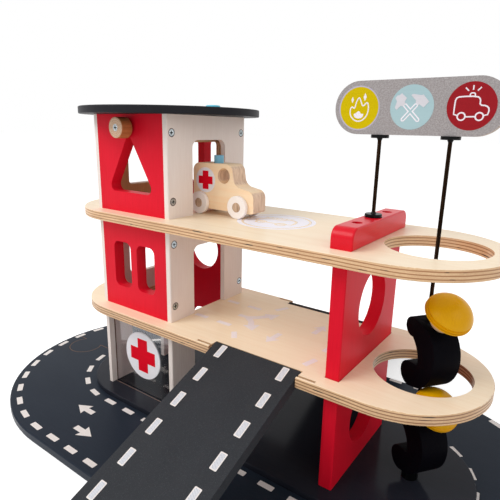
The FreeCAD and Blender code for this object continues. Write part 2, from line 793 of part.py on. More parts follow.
def winch():
    """The knob, its screw, the shaft, the cord wound on it and the hanging cord with its knot."""
    knob_back = front_y - d.knob_gap
    knob_front = knob_back - d.knob_long
    axis = (tower_mid, knob_front, shaft_level)
    bore = screw("knob_screw_bore", axis, "Y", d.knob_screw_long, d.screw_play)
    disc = soften("knob_eased", rod("knob_disc", axis, d.knob_radius, d.knob_long, "Y"),
                  d.knob_round, lambda edge: edge.BoundBox.YLength < 1e-4)
    shaft_front = knob_back - d.knob_bore
    socket = rod("knob_socket", (tower_mid, shaft_front, shaft_level),
                 d.shaft_radius + d.rod_fit, d.knob_bore, "Y")
    keep("winch_knob", cut("winch_knob", disc, bore, socket))
    keep("knob_screw", screw("knob_screw", axis, "Y", d.knob_screw_long))
    shaft_back = inner_y1 + d.bearing_deep - d.shaft_end_play
    dowel = rod("shaft_dowel", (tower_mid, shaft_front, shaft_level), d.shaft_radius,
                shaft_back - shaft_front, "Y")
    keep("winch_shaft", cut("winch_shaft", dowel, bore))
    winding_front = d.cord_radius + d.cord_play
    sleeve = rod("winding_outer", (tower_mid, winding_front, shaft_level),
                 d.shaft_radius + 2 * d.cord_radius, d.winding_long, "Y")
    core = rod("winding_inner", (tower_mid, winding_front, shaft_level),
               d.shaft_radius + d.rod_fit, d.winding_long, "Y")
    keep("cord_winding", cut("cord_winding", sleeve, core))
    top_under = cabin_ranges()[2][1] - d.cabin_ply
    knot_top = top_under - d.knot_gap
    keep("hoist_cord", rod("hoist_cord", (cord_x(), 0, knot_top), d.cord_radius,
                           shaft_level - knot_top))
    keep("cord_knot", ball("cord_knot", (cord_x(), 0, knot_top - d.knot_radius), d.knot_radius))


# Ramps

def ramp_point(along, above, side, slope):
    """A point of a ramp's side view from the distance along it and above its pin."""
    out = along * cosine(slope) + above * sine(slope)
    up = above * cosine(slope) - along * sine(slope)
    return side * (pin_offset + out), pin_level + up


def ramps():
    """Two ramps on steel pins: one in front, and a steeper and shorter one behind."""
    top = d.pin_cover
    bottom = d.pin_cover - d.ramp_thick
    swing = d.notch_deep - d.pin_place - d.ramp_gap
    drop = pin_level - d.floor_play
    inner_top = root(swing * swing - top * top)
    inner_bottom = root(swing * swing - bottom * bottom)
    chord = root((inner_top - inner_bottom) * (inner_top - inner_bottom)
                 + d.ramp_thick * d.ramp_thick)
    bulge = swing - root(swing * swing - chord * chord / 4)
    wide = d.notch_wide - 2 * d.ramp_play
    left = d.notch_place - wide / 2
    for name, side, slope in (("front_ramp", -1, d.ramp_slope), ("rear_ramp", 1, d.rear_slope)):
        tip = (drop + (top - d.ramp_lip) * cosine(slope)) / sine(slope)
        heel = (drop + bottom * cosine(slope)) / sine(slope)
        corners = ((-inner_bottom, bottom), (heel, bottom), (tip, top - d.ramp_lip), (tip, top),
                   (-inner_top, top))
        outline = [(*ramp_point(along, above, side, slope), None) for along, above in corners]
        y, z, _ = outline[-1]
        outline[-1] = (y, z, side * bulge)
        board = place(extruded(name + "_stock", "YZ_Plane", wide, [outline]), left, 0, 0)
        axis_y = side * pin_offset
        bore = rod(name + "_bore", (left, axis_y, pin_level), d.pin_radius + d.rod_fit, wide, "X")
        keep(name, cut(name, board, bore))
        pin_left = d.notch_place - d.notch_wide / 2 - d.pin_past
        keep(name + "_pin", rod(name + "_pin", (pin_left, axis_y, pin_level), d.pin_radius,
                                d.notch_wide + 2 * d.pin_past, "X"))


def root(number):
    """Square root of a size."""
    return Size(math.sqrt(number.value), f"sqrt({number.formula})")


# Ambulance

def ambulance():
    """The ambulance body in side view, its light, and two axles with a pair of wheels each."""
    rear = -d.van_rear
    front = rear + d.van_long
    deck_level = upper_top + d.van_lift
    low = deck_level + d.van_low
    high = deck_level + d.van_high
    foot = quarter(d.van_foot)
    outline = [
        (rear + d.van_foot, low, None),
        (front - d.van_foot, low, foot),
        (front, low + d.van_foot, None),
        (front, deck_level + d.hood_front - d.nose_round, quarter(d.nose_round)),
        (front - d.nose_round, deck_level + d.hood_front, None),
        (front - d.hood_long, deck_level + d.hood_rear, -d.van_bend),
        (front - d.screen_foot_place, deck_level + d.screen_foot, None),
        (front - d.screen_top_place, deck_level + d.screen_top, d.van_brow),
        (front - d.van_roof_place, high, None),
        (rear + d.van_tail, high, quarter(d.van_tail)),
        (rear, high - d.van_tail, None),
        (rear, low + d.van_foot, foot),
    ]
    window = round_port(rear + d.van_window_place, deck_level + d.van_window_height, d.van_window)
    block = extruded("van_stock", "XZ_Plane", d.van_wide, [outline, window], both_ways=True)
    half = d.van_wide / 2
    axle_level = deck_level + d.wheel_radius
    bores = []
    for name, along in (("rear", d.axle_rear), ("front", d.axle_front)):
        x = rear + along
        bores.append(rod(name + "_axle_bore", (x, -half, axle_level), d.axle_radius + d.axle_fit,
                         d.van_wide, "Y"))
        axle_and_wheels(name, x, axle_level, half + d.wheel_gap)
    keep("ambulance_body", cut("ambulance_body", block, *bores))
    keep("ambulance_light", rod("ambulance_light", (rear + d.van_light_place, 0, high),
                                d.van_light_radius, d.van_light_high))


def axle_and_wheels(name, x, z, inner):
    """One dowel with a round hub at each end and the two wheels on it."""
    outer = inner + d.wheel_thick
    seat = outer - d.hub_deep
    pieces = [rod(name + "_dowel", (x, -seat, z), d.axle_radius, 2 * seat, "Y")]
    wheels = []
    for side, wheel_y, hub_y in (("left", -outer, -outer), ("right", inner, seat)):
        pieces.append(rod(f"{name}_{side}_hub", (x, hub_y, z), d.hub_radius, d.hub_deep, "Y"))
        disc = rod(f"{name}_{side}_disc", (x, wheel_y, z), d.wheel_radius, d.wheel_thick, "Y")
        disc = soften(f"{name}_{side}_eased", disc, d.wheel_round,
                      lambda edge: edge.BoundBox.YLength < 1e-4)
        bore = rod(f"{name}_{side}_bore", (x, wheel_y, z), d.axle_radius + d.rod_fit,
                   d.wheel_thick, "Y")
        recess_y = hub_y if side == "left" else seat - d.rod_fit
        seat_cut = rod(f"{name}_{side}_seat", (x, recess_y, z), d.hub_radius + d.hub_play,
                       d.hub_deep + d.rod_fit, "Y")
        wheels.append(cut(f"{name}_{side}_wheel", disc, bore, seat_cut))
    keep(name + "_axle", fuse(name + "_axle", *pieces))
    keep(name + "_wheels", group(name + "_wheels", *wheels))


# Figures

FIGURE_OUTLINE = (
    # forward of the pole, above the sole, bulge to the next point
    (0.5, 0.1, 10.0), (3.5, 20.5, None), (-4.5, 21.5, -1.4), (-8.0, 25.0, -1.9),
    (1.0, 42.5, 8.4), (3.5, 58.5, None), (-14.5, 54.8, 13.7), (-11.0, 3.5, None),
)


def figure(name, level):
    """A curled-up figure with a round head and a helmet, bored so that it slides on the pole."""
    turned = {"axis": V(0, 0, 1), "angle": d.figure_turn}
    wide = d.figure_wide
    stock = extruded(name + "_stock", "XZ_Plane", wide, [FIGURE_OUTLINE], both_ways=True)
    bore = rod(name + "_bore", (0, 0, 0), d.rod_radius + d.figure_fit, d.head_height)
    centre = (-d.head_back, 0, d.head_height)
    socket = ball(name + "_socket", centre, d.head_radius + d.head_play)
    body = cut(name + "_body", stock, bore, socket)
    head = group(name + "_head", ball(name + "_ball", centre, d.head_radius))
    helmet = cut(name + "_helmet", helmet_shell(name), socket)
    for part, item in (("body", body), ("head", head), ("helmet", helmet)):
        place(item, d.pole_place, 0, level, **turned)
        keep(f"{name}_{part}", item)


def helmet_shell(name):
    """A domed helmet, leaning back."""
    high = d.helmet_rim + d.helmet_dome
    radius = (d.helmet_radius * d.helmet_radius / d.helmet_dome + d.helmet_dome) / 2
    band = rod(name + "_band", (0, 0, 0), d.helmet_radius, high)
    dome = ball(name + "_dome", (0, 0, high - radius), radius)
    shell = common(name + "_shell", band, dome)
    return place(shell, -d.helmet_back, 0, d.helmet_height, axis=V(0, 1, 0), angle=-d.helmet_lean)


# Build, test and write every piece

base()
plinth()
lower_deck()
upper_deck()
screw_bores = wall_screws("screw_bores", d.screw_play)
front_boards(screw_bores)
back_board(screw_bores)
side_walls(screw_bores)
keep("wall_screws", wall_screws("wall_screws"))
clear_pane()
roof()
support_board()
cap_block()
rods()
sign()
cabin()
winch()
ramps()
ambulance()
stand = plinth_top + d.foot_high + d.stand_play
figure("lower_figure", stand)
figure("upper_figure", stand + d.figure_stack)

document.recompute()
failed = [item.Name for item in document.Objects if {"Invalid", "Error"} & set(item.State)]
if failed:
    raise RuntimeError("failed objects: " + ", ".join(failed))
for name, item in parts:
    if item.Shape.isNull() or not item.Shape.isValid():
        raise RuntimeError("bad shape: " + name)

os.makedirs("parts", exist_ok=True)
for name, item in parts:
    item.Shape.exportStep(f"parts/{name}.step")
    box_of = item.Shape.BoundBox
    print(f"{name:22s} solids {len(item.Shape.Solids):2d}  volume {item.Shape.Volume:10.1f}  "
          f"x {box_of.XMin:7.1f} {box_of.XMax:7.1f}  y {box_of.YMin:7.1f} {box_of.YMax:7.1f}  "
          f"z {box_of.ZMin:6.1f} {box_of.ZMax:6.1f}")
print(len(parts), "pieces")
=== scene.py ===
# %% [markdown]
# # Dressing a wooden toy fire station
#
# The real object is a play set of painted and bare plywood: a road base, a lift tower, two decks,
# a sign on steel rods, ramps, a little ambulance and two figures on a pole. Its shape is already
# built and loaded here as a fixed frame. What is left is the look: every board gets a paint or a
# wood, and the printed marks, the cord and the figures are modelled.

# %% Load the frame
import bpy
import json
import math
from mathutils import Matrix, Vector

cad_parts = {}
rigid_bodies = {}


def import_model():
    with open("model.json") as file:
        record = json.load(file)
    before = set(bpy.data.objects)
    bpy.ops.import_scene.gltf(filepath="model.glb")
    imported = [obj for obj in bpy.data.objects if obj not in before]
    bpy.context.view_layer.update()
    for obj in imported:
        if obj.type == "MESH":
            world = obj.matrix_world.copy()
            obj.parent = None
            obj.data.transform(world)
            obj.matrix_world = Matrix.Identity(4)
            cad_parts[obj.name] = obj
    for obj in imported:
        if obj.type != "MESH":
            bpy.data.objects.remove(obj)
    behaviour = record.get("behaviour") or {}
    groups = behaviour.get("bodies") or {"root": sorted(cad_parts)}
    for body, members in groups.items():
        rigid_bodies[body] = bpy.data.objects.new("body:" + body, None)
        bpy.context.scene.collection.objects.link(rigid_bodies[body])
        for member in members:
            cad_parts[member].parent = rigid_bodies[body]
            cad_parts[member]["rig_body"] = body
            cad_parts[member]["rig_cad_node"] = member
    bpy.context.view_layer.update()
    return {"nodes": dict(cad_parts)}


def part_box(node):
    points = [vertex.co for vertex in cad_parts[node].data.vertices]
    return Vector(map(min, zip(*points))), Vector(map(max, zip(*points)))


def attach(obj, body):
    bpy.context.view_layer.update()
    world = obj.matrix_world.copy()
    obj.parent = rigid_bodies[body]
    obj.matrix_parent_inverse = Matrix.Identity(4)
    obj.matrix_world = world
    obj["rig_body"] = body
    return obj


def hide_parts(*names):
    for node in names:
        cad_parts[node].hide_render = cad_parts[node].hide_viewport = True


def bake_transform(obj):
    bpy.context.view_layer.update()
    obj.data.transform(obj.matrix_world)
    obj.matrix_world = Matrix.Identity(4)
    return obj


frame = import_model()

# %% [markdown]
# ## Camera
#
# The photograph is a square shot from the front right, a little above the sign. Its camera was
# found by matching straight edges, so it is set here as a place, a heading, a dip and a small roll.

# %% Camera
MM = 0.001


def add_camera(place, heading, dip, roll, lens):
    """A camera that looks along heading (degrees left of the back), dipped and rolled."""
    heading, dip, roll = math.radians(heading), math.radians(dip), math.radians(roll)
    ahead = Vector((-math.sin(heading) * math.cos(dip), math.cos(heading) * math.cos(dip),
                    -math.sin(dip)))
    level = Vector((math.cos(heading), math.sin(heading), 0))
    upright = level.cross(ahead)
    right = level * math.cos(roll) + upright * math.sin(roll)
    up = upright * math.cos(roll) - level * math.sin(roll)
    bpy.ops.object.camera_add(location=[step * MM for step in place])
    camera = bpy.context.object
    turn = camera.matrix_world.copy()
    for column, axis in enumerate((right, up, -ahead)):
        for row in range(3):
            turn[row][column] = axis[row]
    camera.matrix_world = turn
    camera.data.lens = lens
    camera.data.sensor_width = 36
    camera.data.clip_start = 0.01
    bpy.context.scene.camera = camera
    return camera


camera = add_camera((261.75, -362.73, 304.08), 35.86, 14.54, 1.1, 33.66)
print("camera at", tuple(round(step, 3) for step in camera.location))

# %% [markdown]
# ## Node helpers
#
# Each finish is a small node graph. A class keeps one material and its Principled shader and adds
# nodes in a line each, so that the recipes further down read like recipes. Colours are given as
# they are read off a screen, 0 to 255, and turned into the linear values that nodes work in.

# %% Helper for finishes
def tone(red, green, blue):
    """A screen colour, 0 to 255, as linear RGBA."""
    linear = []
    for value in (red, green, blue):
        value /= 255
        linear.append(value / 12.92 if value <= 0.04045 else ((value + 0.055) / 1.055) ** 2.4)
    return (*linear, 1.0)


class Finish:
    """A material with one Principled shader, and short ways to add nodes to it."""

    def __init__(self, name, **sockets):
        self.material = bpy.data.materials.new(name)
        self.material.use_nodes = True
        self.tree = self.material.node_tree
        self.shader = self.tree.nodes["Principled BSDF"]
        coordinates = self.tree.nodes.new("ShaderNodeTexCoord")
        self.place = coordinates.outputs["Object"]
        self.facing = coordinates.outputs["Normal"]
        for socket, value in sockets.items():
            self.set(socket.replace("_", " "), value)

    def put(self, socket, value):
        """Link a node's output to a socket, or write a constant in it."""
        if isinstance(value, bpy.types.NodeSocket):
            self.tree.links.new(value, socket)
        else:
            socket.default_value = value

    def set(self, socket, value):
        """Give the shader's socket of that name a value."""
        names = {"Specular": "Specular IOR Level", "Coat": "Coat Weight",
                 "Transmission": "Transmission Weight"}
        self.put(self.shader.inputs[names.get(socket, socket)], value)

    def node(self, kind, inputs, **settings):
        """Add a shader node, with what its inputs get by name or number; returns the node."""
        made = self.tree.nodes.new("ShaderNode" + kind)
        for setting, value in settings.items():
            setattr(made, setting, value)
        for socket, value in inputs.items():
            self.put(made.inputs[socket], value)
        return made

    def maths(self, operation, first, second=0.0, clamp=False):
        """A Math node's result."""
        return self.node("Math", {0: first, 1: second}, operation=operation,
                         use_clamp=clamp).outputs[0]

    def times(self, first, second, clamp=False):
        """The product of two values."""
        return self.maths("MULTIPLY", first, second, clamp)

    def add(self, first, second):
        """The sum of two values."""
        return self.maths("ADD", first, second)

    def less(self, first, second):
        """The first value less the second."""
        return self.maths("SUBTRACT", first, second)

    def mix(self, share, first, second):
        """Blend nodes' or screen colours: the first where share is 0, the second where it is 1."""
        first, second = (tone(*colour) if isinstance(colour, tuple) else colour
                         for colour in (first, second))
        return self.node("Mix", {0: share, 6: first, 7: second}, data_type="RGBA").outputs[2]

    def ramp(self, value, low, high):
        """Stretch value so that low becomes 0 and high becomes 1."""
        return self.node("MapRange", {"Value": value, "From Min": low, "From Max": high}).outputs[0]

    def noise(self, scale, detail, rough=0.55):
        """A noise whose scale is given per metre along X, Y and Z."""
        sized = self.node("Mapping", {"Vector": self.place, "Scale": scale}).outputs[0]
        return self.node("TexNoise", {"Vector": sized, "Scale": 1.0, "Detail": detail,
                                      "Roughness": rough}).outputs[0]

    def pattern(self, scale, detail, low, high, rough=0.55):
        """A noise stretched so that low becomes 0 and high becomes 1."""
        return self.ramp(self.noise(scale, detail, rough), low, high)

    def along(self, axis):
        """One coordinate of the object, in metres."""
        return self.node("SeparateXYZ", {0: self.place}).outputs[axis]

    def faces(self, axis):
        """1 on surfaces that face along an axis, 0 on the others."""
        part = self.node("SeparateXYZ", {0: self.facing}).outputs[axis]
        return self.ramp(self.maths("ABSOLUTE", part), 0.6, 0.8)

    def within(self, axis, middle, half):
        """1 where a coordinate is less than half away from middle, in millimetres, else 0."""
        away = self.maths("ABSOLUTE", self.less(self.along(axis), middle * MM))
        return self.maths("LESS_THAN", away, half * MM)

    def bump(self, height, strength, depth):
        """Raise the surface by a height pattern, depth in millimetres."""
        made = self.node("Bump", {"Height": height, "Strength": strength, "Distance": depth * MM})
        self.set("Normal", made.outputs[0])


print("white is", tone(255, 255, 255))

# %% [markdown]
# ## Bare wood
#
# Birch and beech are pale, with streaks that run along one axis. A noise that is squeezed along
# that axis gives both the wide clouds and the thin fibres, and the same fibres drive a faint bump.
# Plywood shows its layers on every edge. The layers are a sawtooth of the height within the board,
# and the direction that a surface faces tells the edge from the face.

# %% Wood recipes
AXES = "XYZ"


def stretched(across, along, axis):
    """A noise scale that is finer across the grain than along it."""
    scale = [across] * 3
    scale[AXES.index(axis)] = along
    return scale


def wood(name, light, dark, grain, strength=0.5):
    """Bare wood: clouds and fibres along the grain. Returns the finish and its colour output."""
    made = Finish(name, Roughness=0.5, Specular=0.28)
    clouds = made.pattern(stretched(70, 9, grain), 3, 0.3, 0.72)
    fibre = made.pattern(stretched(900, 28, grain), 3, 0.36, 0.7, 0.65)
    year = made.pattern(stretched(260, 7, grain), 5, 0.42, 0.68, 0.6)
    streaks = made.add(made.add(made.times(clouds, 0.35), made.times(fibre, 0.25)),
                       made.times(year, 0.4))
    colour = made.mix(made.times(streaks, strength, True), light, dark)
    made.bump(fibre, 0.12, 0.15)
    return made, colour


ply_light, ply_dark, ply_gap = (234, 196, 152), (132, 82, 50), (48, 26, 18)


def plywood(node, axis, thick, light, dark, grain, layers, layer=ply_dark):
    """Plywood for a node, with its layers stacked along axis, thick millimetres in all."""
    made, face = wood(node + "_ply", light, dark, grain, 0.55)
    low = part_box(node)[0][AXES.index(axis)]
    depth = made.maths("DIVIDE", made.less(made.along(axis), low), thick * MM)
    wobble = made.times(made.less(made.noise((22, 22, 22), 2), 0.5), 0.12)
    saw = made.maths("FRACT", made.times(made.add(depth, wobble), layers / 2))
    end_grain = made.times(made.ramp(saw, 0.58, 0.66), made.ramp(saw, 1.0, 0.93))
    pores = made.pattern((700, 700, 1400), 3, 0.35, 0.7, 0.7)
    streak = made.pattern((45, 45, 900), 3, 0.4, 0.7)
    glued = made.mix(made.times(end_grain, 0.85), ply_light, layer)
    glued = made.mix(made.times(streak, 0.35), glued, layer)
    glued = made.mix(made.times(pores, 0.22), glued, layer)
    gaps = made.pattern((75, 75, 420), 2, 0.66, 0.69, 0.4)
    glued = made.mix(made.times(gaps, end_grain), glued, ply_gap)
    made.set("Base Color", made.mix(made.faces(axis), glued, face))
    return made


def solid_wood(name, light, dark, grain, strength=0.5):
    """Solid wood with nothing but its own grain."""
    made, colour = wood(name, light, dark, grain, strength)
    made.set("Base Color", colour)
    return made.material


def deck_birch(node, layer):
    """A deck's plywood under a coat of clear lacquer that mirrors softly."""
    made = plywood(node, "Z", 9, (254, 236, 208), (240, 210, 170), "X", 7, layer)
    made.set("Coat", 0.22)
    made.set("Coat Roughness", 0.14)
    return made.material


lower_birch = deck_birch("lower_deck", ply_dark)
upper_birch = deck_birch("upper_deck", (160, 106, 64))
cabin_ply = {}
for board, axis, grain in (("floor", "Z", "Y"), ("top", "Z", "Y"), ("left_panel", "X", "Z"),
                           ("right_panel", "X", "Z")):
    light, dark = (216, 170, 122), (176, 122, 78)
    if board == "floor":
        light, dark = (248, 216, 194), (222, 182, 156)
    node = "cabin_" + board
    cabin_ply[node] = plywood(node, axis, 6, light, dark, grain, 5).material
shaft_beech = solid_wood("shaft_beech", (206, 160, 112), (160, 110, 70), "Y", 0.8)
head_maple = solid_wood("head_maple", (216, 182, 146), (190, 150, 112), "Z")


def block_wood(name, light, dark, end_light, end_dark, grain):
    """A solid block: long grain on its sides, and greyer streaks where the grain ends."""
    made, side = wood(name, light, dark, grain, 0.75)
    rings = made.pattern(stretched(420, 60, "Z"), 4, 0.34, 0.7, 0.6)
    end = made.mix(rings, end_light, end_dark)
    made.set("Base Color", made.mix(made.faces(grain), side, end))
    return made.material


van_wood = block_wood("van_wood", (255, 230, 196), (254, 208, 158), (240, 212, 186),
                      (206, 172, 144), "X")
hub_wood = block_wood("hub_wood", (206, 170, 130), (168, 124, 84), (236, 206, 178),
                      (124, 88, 62), "Y")
print("plywood on", 2 + len(cabin_ply), "boards")

# %% [markdown]
# ## Turned knob
#
# The winch knob is a slice of dowel, so its round face shows rings around the middle and its side
# shows the grain running along it, in a warmer and darker tone. The rings are a distance from the
# knob's axis with some noise, pushed through a sine.

# %% Knob finish
TOWER_X = -105.5
WINCH_Z = 302.8


def ring_wood(name, light, dark, side_light, side_dark):
    """End grain around the winch's axis, which runs along Y, and long grain on the side."""
    made, side = wood(name, side_light, side_dark, "Y", 0.9)
    across = made.node("SeparateXYZ", {0: made.place})
    offset = [made.less(across.outputs[axis], value * MM)
              for axis, value in (("X", TOWER_X), ("Z", WINCH_Z))]
    squares = [made.times(step, step) for step in offset]
    distance = made.maths("SQRT", made.add(*squares))
    bent = made.add(distance, made.times(made.noise((90, 90, 90), 2), 1.2 * MM))
    rings = made.maths("SINE", made.times(bent, 3600.0))
    pores = made.pattern((900, 900, 900), 3, 0.42, 0.66, 0.7)
    share = made.add(made.times(made.ramp(rings, -1.0, 1.0), 0.45), made.times(pores, 0.4))
    end = made.mix(share, light, dark)
    made.set("Base Color", made.mix(made.faces("Y"), side, end))
    return made.material


knob_wood = ring_wood("knob_wood", (230, 196, 166), (176, 132, 98), (206, 138, 82), (150, 88, 46))
print("knob finish", knob_wood.name)

# %% [markdown]
# ## Painted boards
#
# The paint is thin and satin, so the grain of the board still shows as a very faint relief and a
# slight change of tone. One recipe takes two close tones of the same paint. The black road boards
# carry a fine speckle, because their paint is a matt one with a dusty surface.

# %% Paint recipes
def paint(name, tone_one, tone_two, grain, rough=0.45, relief=0.1, speckle=0.0, fleck=None,
          shine=0.16, over=None):
    """Satin paint over a board: two close tones, the board's grain in relief, maybe flecks."""
    made = Finish(name, Roughness=rough, Specular=shine)
    clouds = made.pattern(stretched(30, 12, grain), 3, 0.3, 0.7)
    fibre = made.pattern(stretched(1100, 45, grain), 3, 0.35, 0.7, 0.6)
    share = made.add(made.times(clouds, 0.55), made.times(fibre, 0.45))
    colour = made.mix(share, tone_one, tone_two)
    if speckle:
        dots = made.pattern((1500, 1500, 1500), 2, 0.56, 0.7, 0.5)
        colour = made.mix(made.times(dots, speckle), colour, fleck)
    if over:
        colour = over(made, colour)
    made.set("Base Color", colour)
    made.bump(fibre, relief, 0.12)
    return made.material


TAB_X, TAB_Y, TAB_RADIUS = 269.5, -13, 20.65


def bare_joint(made, colour):
    """Bare wood on the thin joint of the base: a straight line, and round its two tabs."""
    out = made.less(made.maths("ABSOLUTE", made.along("X")), TAB_X * MM)
    back = made.less(made.along("Y"), TAB_Y * MM)
    reach = made.maths("SQRT", made.add(made.times(out, out), made.times(back, back)))
    off_ring = made.maths("ABSOLUTE", made.less(reach, TAB_RADIUS * MM))
    ring = made.times(made.maths("LESS_THAN", off_ring, 0.5 * MM),
                      made.maths("LESS_THAN", back, 12.5 * MM))
    straight = made.times(made.within("Y", -0.15, 0.5),
                          made.maths("GREATER_THAN", reach, TAB_RADIUS * MM))
    return made.mix(made.maths("MAXIMUM", ring, straight), colour, (118, 92, 76))


red_paint = paint("red_paint", (226, 20, 46), (212, 15, 38), "Z", 0.42, shine=0.1)
block_red = paint("block_red", (226, 14, 40), (210, 10, 32), "Y", 0.3, 0.16, shine=0.2)
white_paint = paint("white_paint", (242, 231, 224), (233, 219, 211), "Z", 0.5)
wheel_white = paint("wheel_white", (254, 248, 244), (247, 236, 230), "Y", 0.45)
road_paint = paint("road_paint", (40, 47, 58), (34, 41, 52), "X", 0.3, 0.05, 0.1,
                   (66, 72, 84), 0.06, bare_joint)
plinth_paint = paint("plinth_paint", (36, 38, 46), (30, 32, 40), "X", 0.16, 0.03, shine=0.1)
ramp_paint = paint("ramp_paint", (54, 56, 60), (47, 49, 53), "Y", 0.5, 0.12, 0.35,
                   (82, 84, 88), 0.08)
roof_paint = paint("roof_paint", (36, 36, 40), (29, 29, 33), "X", 0.45, 0.1, 0.15,
                   (62, 64, 68), 0.1)
figure_black = paint("figure_black", (9, 8, 13), (5, 4, 8), "Z", 0.5, 0.2, shine=0.02)
helmet_yellow = paint("helmet_yellow", (230, 172, 2), (216, 152, 2), "Z", 0.32, 0.1, shine=0.14)
beacon_blue = paint("beacon_blue", (136, 194, 220), (120, 180, 208), "Z", 0.35)
roof_cyan = paint("roof_cyan", (96, 200, 224), (82, 186, 212), "Z", 0.3)
white_print = paint("white_print", (238, 232, 228), (228, 220, 216), "X", 0.55, 0.05, 0.4,
                    (204, 198, 196))
deck_print = paint("deck_print", (248, 242, 246), (240, 230, 232), "X", 0.55, 0.05, 0.3,
                   (234, 214, 204))
roundel_print = paint("roundel_print", (250, 247, 254), (243, 239, 248), "X", 0.5, 0.05)
badge_white = paint("badge_white", (248, 245, 249), (240, 236, 241), "X", 0.5, 0.05)
badge_red = paint("badge_red", (234, 10, 40), (222, 8, 34), "X", 0.5, 0.05, shine=0.06)
rim_shade = paint("rim_shade", (92, 76, 68), (66, 54, 50), "Z", 0.6, shine=0.04)


def groove_white(name):
    """White paint, with bare brown wood inside the groove that holds the pane."""
    made = Finish(name, Roughness=0.5, Specular=0.16)
    fibre = made.pattern(stretched(1100, 45, "Z"), 3, 0.35, 0.7, 0.6)
    white = made.mix(fibre, (242, 231, 224), (233, 219, 211))
    bare = made.mix(fibre, (150, 92, 52), (108, 62, 36))
    inside = made.times(made.within("X", TOWER_X, 50.5), made.within("Y", -50, 1.25))
    made.set("Base Color", made.mix(inside, white, bare))
    made.bump(fibre, 0.1, 0.12)
    return made.material


pane_wall_white = groove_white("pane_wall_white")
print("paints ready")

# %% [markdown]
# ## Sign, steel, plastic and pane
#
# The sign's faces are printed with grey speckles like stone, and its edges are bare wood. The rods
# and screws are metal. The black fittings are plain moulded plastic. The pane is clear acrylic,
# made with the shader's transmission, so that it bends and mirrors light as plastic does.

# %% Sign, metal, plastic and pane finishes
def stone_print(name):
    """Grey speckled print on the faces that look along Y, bare wood on the edges."""
    made, edge = wood(name, (184, 164, 148), (120, 100, 92), "X")
    coarse = made.pattern((900, 900, 900), 2, 0.4, 0.62, 0.5)
    fine = made.pattern((2600, 2600, 2600), 2, 0.42, 0.6, 0.7)
    grey = made.mix(coarse, (155, 149, 149), (173, 168, 168))
    grey = made.mix(made.times(fine, 0.5), grey, (116, 108, 107))
    made.set("Base Color", made.mix(made.faces("Y"), edge, grey))
    return made.material


def metal(name, bright, dull, rough, streak_axis):
    """Drawn or turned steel with fine marks along one axis."""
    made = Finish(name, Metallic=1.0)
    marks = made.pattern(stretched(1600, 40, streak_axis), 3, 0.35, 0.7)
    made.set("Base Color", made.mix(marks, bright, dull))
    made.set("Roughness", made.ramp(marks, -rough * 4, rough * 6))
    made.bump(marks, 0.1, 0.05)
    return made.material


def moulded(name, colour, worn, rough):
    """Moulded plastic with a fine grain."""
    made = Finish(name, Roughness=rough, Specular=0.12)
    grain = made.noise((1300, 1300, 1300), 3)
    made.set("Base Color", made.mix(made.ramp(grain, 0.4, 0.7), colour, worn))
    made.bump(grain, 0.15, 0.08)
    return made.material


def acrylic(name):
    """Clear sheet with a trace of grey and the faintest surface wave."""
    made = Finish(name, Roughness=0.03, IOR=1.49, Transmission=1.0)
    haze = made.noise((40, 40, 40), 2)
    made.set("Base Color", made.mix(made.ramp(haze, 0.3, 0.7), (246, 248, 250), (238, 241, 245)))
    made.bump(haze, 0.03, 0.1)
    return made.material


def screw_metal(name, axis, middle, half):
    """Bright steel on the screw heads' outer face, and painted shade, near black, on the part down
    in the recess.
    """
    made = Finish(name, Metallic=1.0, Roughness=0.22)
    marks = made.pattern((900, 900, 900), 3, 0.35, 0.7)
    bright = made.mix(marks, (206, 212, 214), (104, 112, 116))
    # painted shade: the part of the screw inside the wall's face is coloured near black
    recess_shade_mask = made.within(axis, middle, half - 0.12)
    made.set("Base Color", made.mix(recess_shade_mask, bright, (16, 18, 22)))
    made.bump(marks, 0.2, 0.1)
    return made.material


sign_stone = stone_print("sign_stone")
wall_steel = screw_metal("wall_steel", "X", TOWER_X, 52.5)
knob_steel = screw_metal("knob_steel", "Y", 0, 73)
rod_steel = metal("rod_steel", (74, 54, 38), (8, 6, 8), 0.04, "Z")
pin_steel = metal("pin_steel", (176, 150, 120), (120, 96, 74), 0.1, "X")
black_plastic = moulded("black_plastic", (4, 5, 6), (9, 10, 12), 0.3)
clear_acrylic = acrylic("clear_acrylic")
cord_white = moulded("cord_white", (226, 222, 214), (196, 190, 180), 0.8)
print("metal, plastic and pane ready")

# %% [markdown]
# ## Dress the frame
#
# The frame's own boards keep their shape and only get a finish. Nothing is left with the plain
# grey that it was loaded with, so the cell ends by listing any node that was missed.

# %% Finishes of the frame's nodes
dressing = {
    road_paint: ["base_front", "base_rear"],
    plinth_paint: ["plinth"],
    lower_birch: ["lower_deck"],
    upper_birch: ["upper_deck"],
    red_paint: ["front_board_middle", "front_board_upper", "back_board", "support_board"],
    block_red: ["cap_block"],
    white_paint: [f"{side}_wall_{storey}" for side in ("left", "right")
                  for storey in ("middle", "upper")],
    pane_wall_white: ["left_wall_ground", "right_wall_ground"],
    clear_acrylic: ["clear_pane"],
    roof_paint: ["roof_board"],
    roof_cyan: ["roof_light"],
    sign_stone: ["sign_board"],
    wall_steel: ["wall_screws"],
    knob_steel: ["knob_screw"],
    rod_steel: ["short_rod", "pole"],
    pin_steel: ["front_ramp_pin", "rear_ramp_pin"],
    black_plastic: ["rod_flange", "pole_flange", "sign_caps"],
    knob_wood: ["winch_knob"],
    shaft_beech: ["winch_shaft"],
    ramp_paint: ["front_ramp", "rear_ramp"],
    hub_wood: ["front_axle", "rear_axle"],
    wheel_white: ["front_wheels", "rear_wheels"],
    van_wood: ["ambulance_body"],
    beacon_blue: ["ambulance_light"],
    head_maple: ["lower_figure_head", "upper_figure_head"],
    figure_black: ["lower_figure_body", "upper_figure_body"],
    helmet_yellow: ["lower_figure_helmet", "upper_figure_helmet"],
    cord_white: ["hoist_cord", "cord_knot", "cord_winding"],
}
dressing.update({finish: [name] for name, finish in cabin_ply.items()})
dressed = set()
